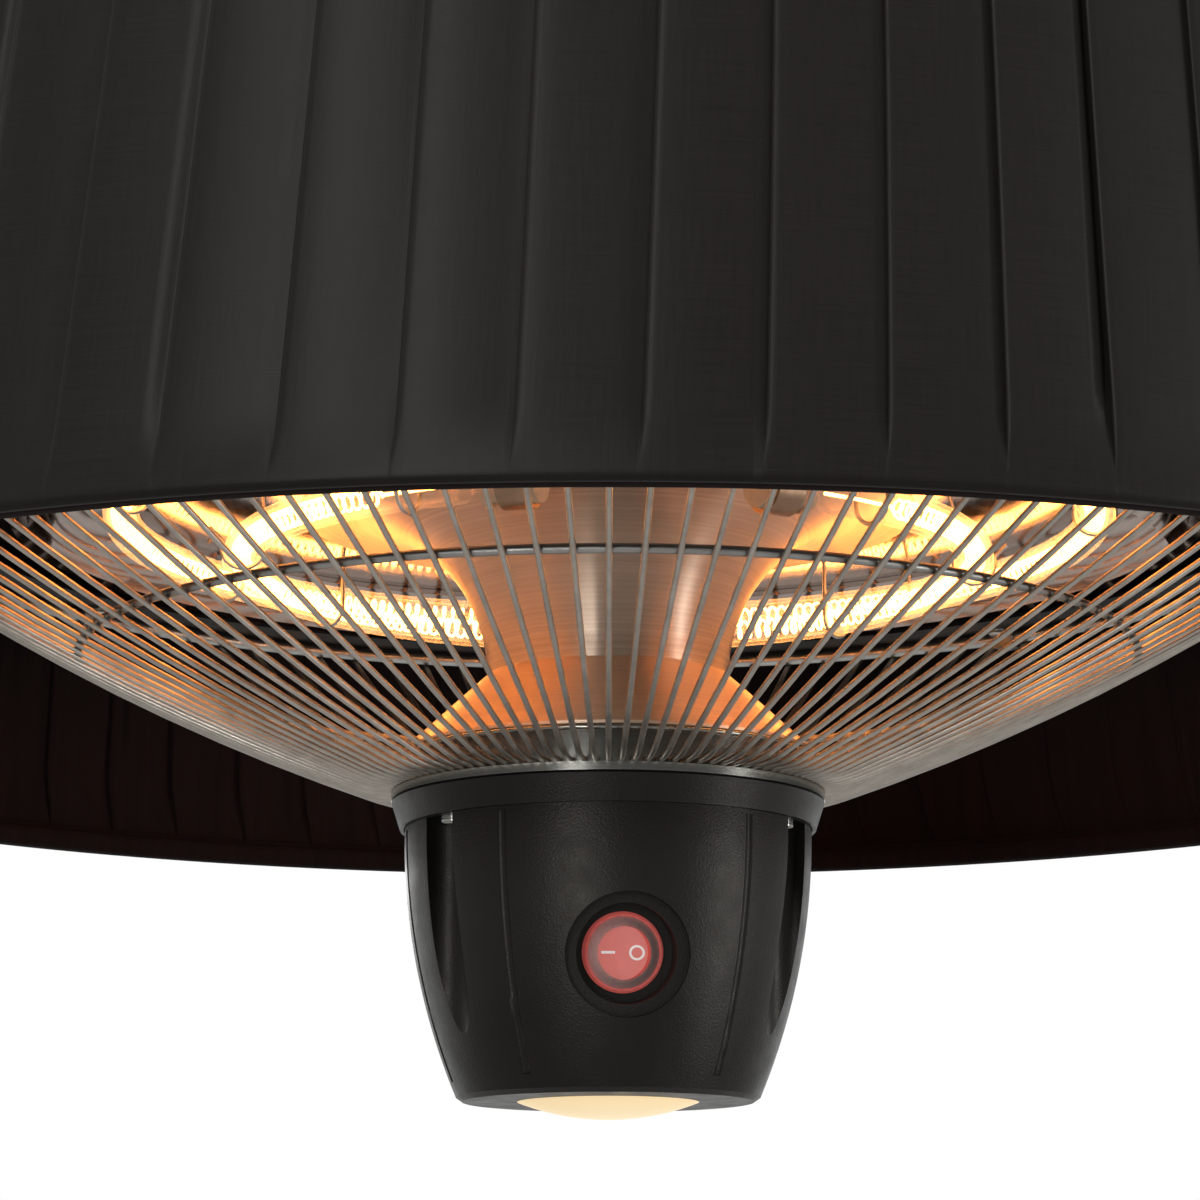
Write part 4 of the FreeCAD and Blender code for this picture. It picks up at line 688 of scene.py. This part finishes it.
def make_coil(tube):
    """Fine wound wire with a closed end at both of its leads."""
    line = coil_line(tube)
    axis = Vector((0.0, 0.0, 1.0))
    verts = []
    for i, point in enumerate(line):
        ahead = (line[min(i + 1, len(line) - 1)] - line[max(i - 1, 0)]).normalized()
        out = Vector((point.x, point.y, 0.0)).normalized()
        u = out - ahead * out.dot(ahead)
        if u.length < COIL_LEAST_OUT:
            u = axis - ahead * axis.dot(ahead)
        u.normalize()
        v = ahead.cross(u)
        for k in range(COIL_WIRE_SIDES):
            a = 2.0 * math.pi * k / COIL_WIRE_SIDES
            verts.append(tuple(point + (u * math.cos(a) + v * math.sin(a)) * COIL_WIRE))
    faces = grid_faces(len(line), COIL_WIRE_SIDES, True)
    faces.append(tuple(range(COIL_WIRE_SIDES))[::-1])
    faces.append(tuple(len(verts) - COIL_WIRE_SIDES + k for k in range(COIL_WIRE_SIDES)))
    return add_mesh("wound_filament_" + tube, verts, faces, "filament")


# Switch marks

def mark_rows():
    """Rows of points of the dash and the loop in the switch's plane, each with whether it closes."""
    dash = []
    loop = []
    for r in range(MARK_ROWS):
        share = r / (MARK_ROWS - 1)
        dash.append([
            (DASH_CENTER + DASH_LENGTH * (c / (DASH_COLUMNS - 1) - 0.5), DASH_WIDTH * (share - 0.5))
            for c in range(DASH_COLUMNS)
        ])
        reach = LOOP_RADIUS - LOOP_LINE * (1.0 - share)
        angles = [c * math.pi / (LOOP_COLUMNS / 2.0) for c in range(LOOP_COLUMNS)]
        loop.append([(LOOP_CENTER + reach * math.cos(a), reach * math.sin(a)) for a in angles])
    return ((dash, False), (loop, True))


def make_marks():
    """A dash and a loop printed on the rocker's dished face, each a thin film laid on that face."""
    mesh = nodes["switch_rocker"].data
    face = BVHTree.FromPolygons(
        [v.co for v in mesh.vertices], [tuple(p.vertices) for p in mesh.polygons]
    )
    verts = []
    faces = []
    for rows, closed in mark_rows():
        start = len(verts)
        columns = len(rows[0])
        last = columns - 1
        size = len(rows) * columns
        for level in (MARK_OVER, MARK_UNDER):
            for x, y in (p for row in rows for p in row):
                above = SWITCH_ORIGIN + SWITCH_RIGHT * x + SWITCH_UP * y
                hit = face.ray_cast(above, -SWITCH_OUT)[0]
                verts.append(tuple(hit + SWITCH_OUT * level))
        top = grid_faces(len(rows), columns, closed)
        rim = [(c, (c + 1) % columns) for c in range(columns if closed else last)]
        rim += [(size - columns + b, size - columns + a) for a, b in list(rim)]
        if not closed:
            starts = [r * columns for r in range(len(rows) - 1)]
            rim += [(s + columns, s) for s in starts]
            rim += [(s + last, s + columns + last) for s in starts]
        order = -1 if closed else 1
        shell = top + [tuple(size + v for v in f[::-1]) for f in top]
        shell += [(b, a, size + a, size + b) for a, b in rim]
        faces += [tuple(start + v for v in f[::order]) for f in shell]
    return add_mesh("switch_marks", verts, faces, "mark_white", smooth=False)


dress_frame()

cloth = make_cloth()
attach(cloth, "heater")
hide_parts("shade_fabric")
bottom_hem = make_hem("bottom_hem", SHADE_BOTTOM, 1.0, BOTTOM_TAPE)
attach(bottom_hem, "heater")
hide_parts("shade_bottom_binding")
top_hem = make_hem("top_hem", SHADE_TOP, -1.0, TOP_TAPE)
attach(top_hem, "heater")
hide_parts("shade_top_binding")

for tube in TUBE_RADII:
    coil = make_coil(tube)
    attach(coil, "heater")
    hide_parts("filament_" + tube)

marks = make_marks()
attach(marks, "rocker")


# Studio

def add_softbox(name, azimuth, distance, z, width, height, watts):
    """Upright soft light that faces the object's axis."""
    lamp = bpy.data.lights.new(name, "AREA")
    lamp.shape = "RECTANGLE"
    lamp.size = width
    lamp.size_y = height
    lamp.energy = watts
    obj = bpy.data.objects.new(name, lamp)
    obj.location = at(math.radians(azimuth), distance, z)
    inward = Vector((-obj.location.x, -obj.location.y, 0.0))
    obj.rotation_euler = inward.to_track_quat("-Z", "Y").to_euler()
    obj.visible_camera = False
    bpy.context.scene.collection.objects.link(obj)


def seen_directly(tree):
    """1 for what the camera, metal and glass see, 0 for the light that spreads from it."""
    path = tree.nodes.new("ShaderNodeLightPath")
    seen = path.outputs["Is Camera Ray"]
    for ray in ("Is Glossy Ray", "Is Transmission Ray"):
        either = tree.nodes.new("ShaderNodeMath")
        either.operation = "MAXIMUM"
        tree.links.new(seen, either.inputs[0])
        tree.links.new(path.outputs[ray], either.inputs[1])
        seen = either.outputs["Value"]
    return seen


def add_floor():
    """Pale round floor, lifted towards white where it is seen, that keeps the object's shadow."""
    s = Surface("studio_floor", (0.80, 0.79, 0.77), rough=0.85, Specular_IOR_Level=0.1,
                Emission_Color=(1.0, 0.99, 0.97, 1.0))
    s.mottled(s.noise(s.position(), scale=3.0), spread=0.02)
    s.drive(s.math("MULTIPLY", seen_directly(s.tree), FLOOR_LIFT), "Emission Strength")
    angles = [2.0 * math.pi * c / FLOOR_SIDES for c in range(FLOOR_SIDES)]
    mesh = bpy.data.meshes.new("studio_floor")
    mesh.from_pydata([at(a, FLOOR_RADIUS, FLOOR_Z) for a in angles], [], [tuple(range(FLOOR_SIDES))])
    mesh.materials.append(s.mat)
    floor = bpy.data.objects.new("studio_floor", mesh)
    bpy.context.scene.collection.objects.link(floor)


def set_world():
    """White for what the camera, metal and glass see, and a lower soft light on everything else."""
    world = bpy.data.worlds.new("studio")
    bpy.context.scene.world = world
    world.use_nodes = True
    tree = world.node_tree
    back = tree.nodes["Background"]
    back.inputs["Color"].default_value = (1.0, 1.0, 1.0, 1.0)
    level = tree.nodes.new("ShaderNodeMapRange")
    level.inputs["To Min"].default_value = WORLD_FILL
    level.inputs["To Max"].default_value = 1.0
    tree.links.new(seen_directly(tree), level.inputs["Value"])
    tree.links.new(level.outputs["Result"], back.inputs["Strength"])


def add_camera():
    """The photograph's view: from the switch side, a little below and to one side."""
    camera = bpy.data.cameras.new("photo_view")
    camera.lens = CAMERA_LENS
    camera.sensor_width = CAMERA_SENSOR
    camera.clip_start = CAMERA_CLIP
    obj = bpy.data.objects.new("photo_view", camera)
    ahead = Vector((math.sin(CAMERA_AZIMUTH), math.cos(CAMERA_AZIMUTH), 0.0))
    right = Vector((math.cos(CAMERA_AZIMUTH), -math.sin(CAMERA_AZIMUTH), 0.0))
    place = right * CAMERA_SIDE - ahead * CAMERA_DISTANCE
    obj.location = (place.x, place.y, CAMERA_HEIGHT)
    obj.rotation_euler = (math.pi / 2.0 + CAMERA_PITCH, 0.0, -CAMERA_AZIMUTH)
    bpy.context.scene.collection.objects.link(obj)
    bpy.context.scene.camera = obj


set_world()
add_floor()
add_softbox("left_softbox", azimuth=-23.0, distance=2.2, z=0.40, width=0.42, height=3.0, watts=45.0)
add_softbox("right_softbox", azimuth=65.0, distance=2.2, z=-0.45, width=0.42, height=1.7, watts=24.5)
add_softbox("back_softbox", azimuth=195.0, distance=2.4, z=0.60, width=1.2, height=1.4, watts=26.0)
add_camera()
bpy.context.scene.view_settings.view_transform = "Standard"
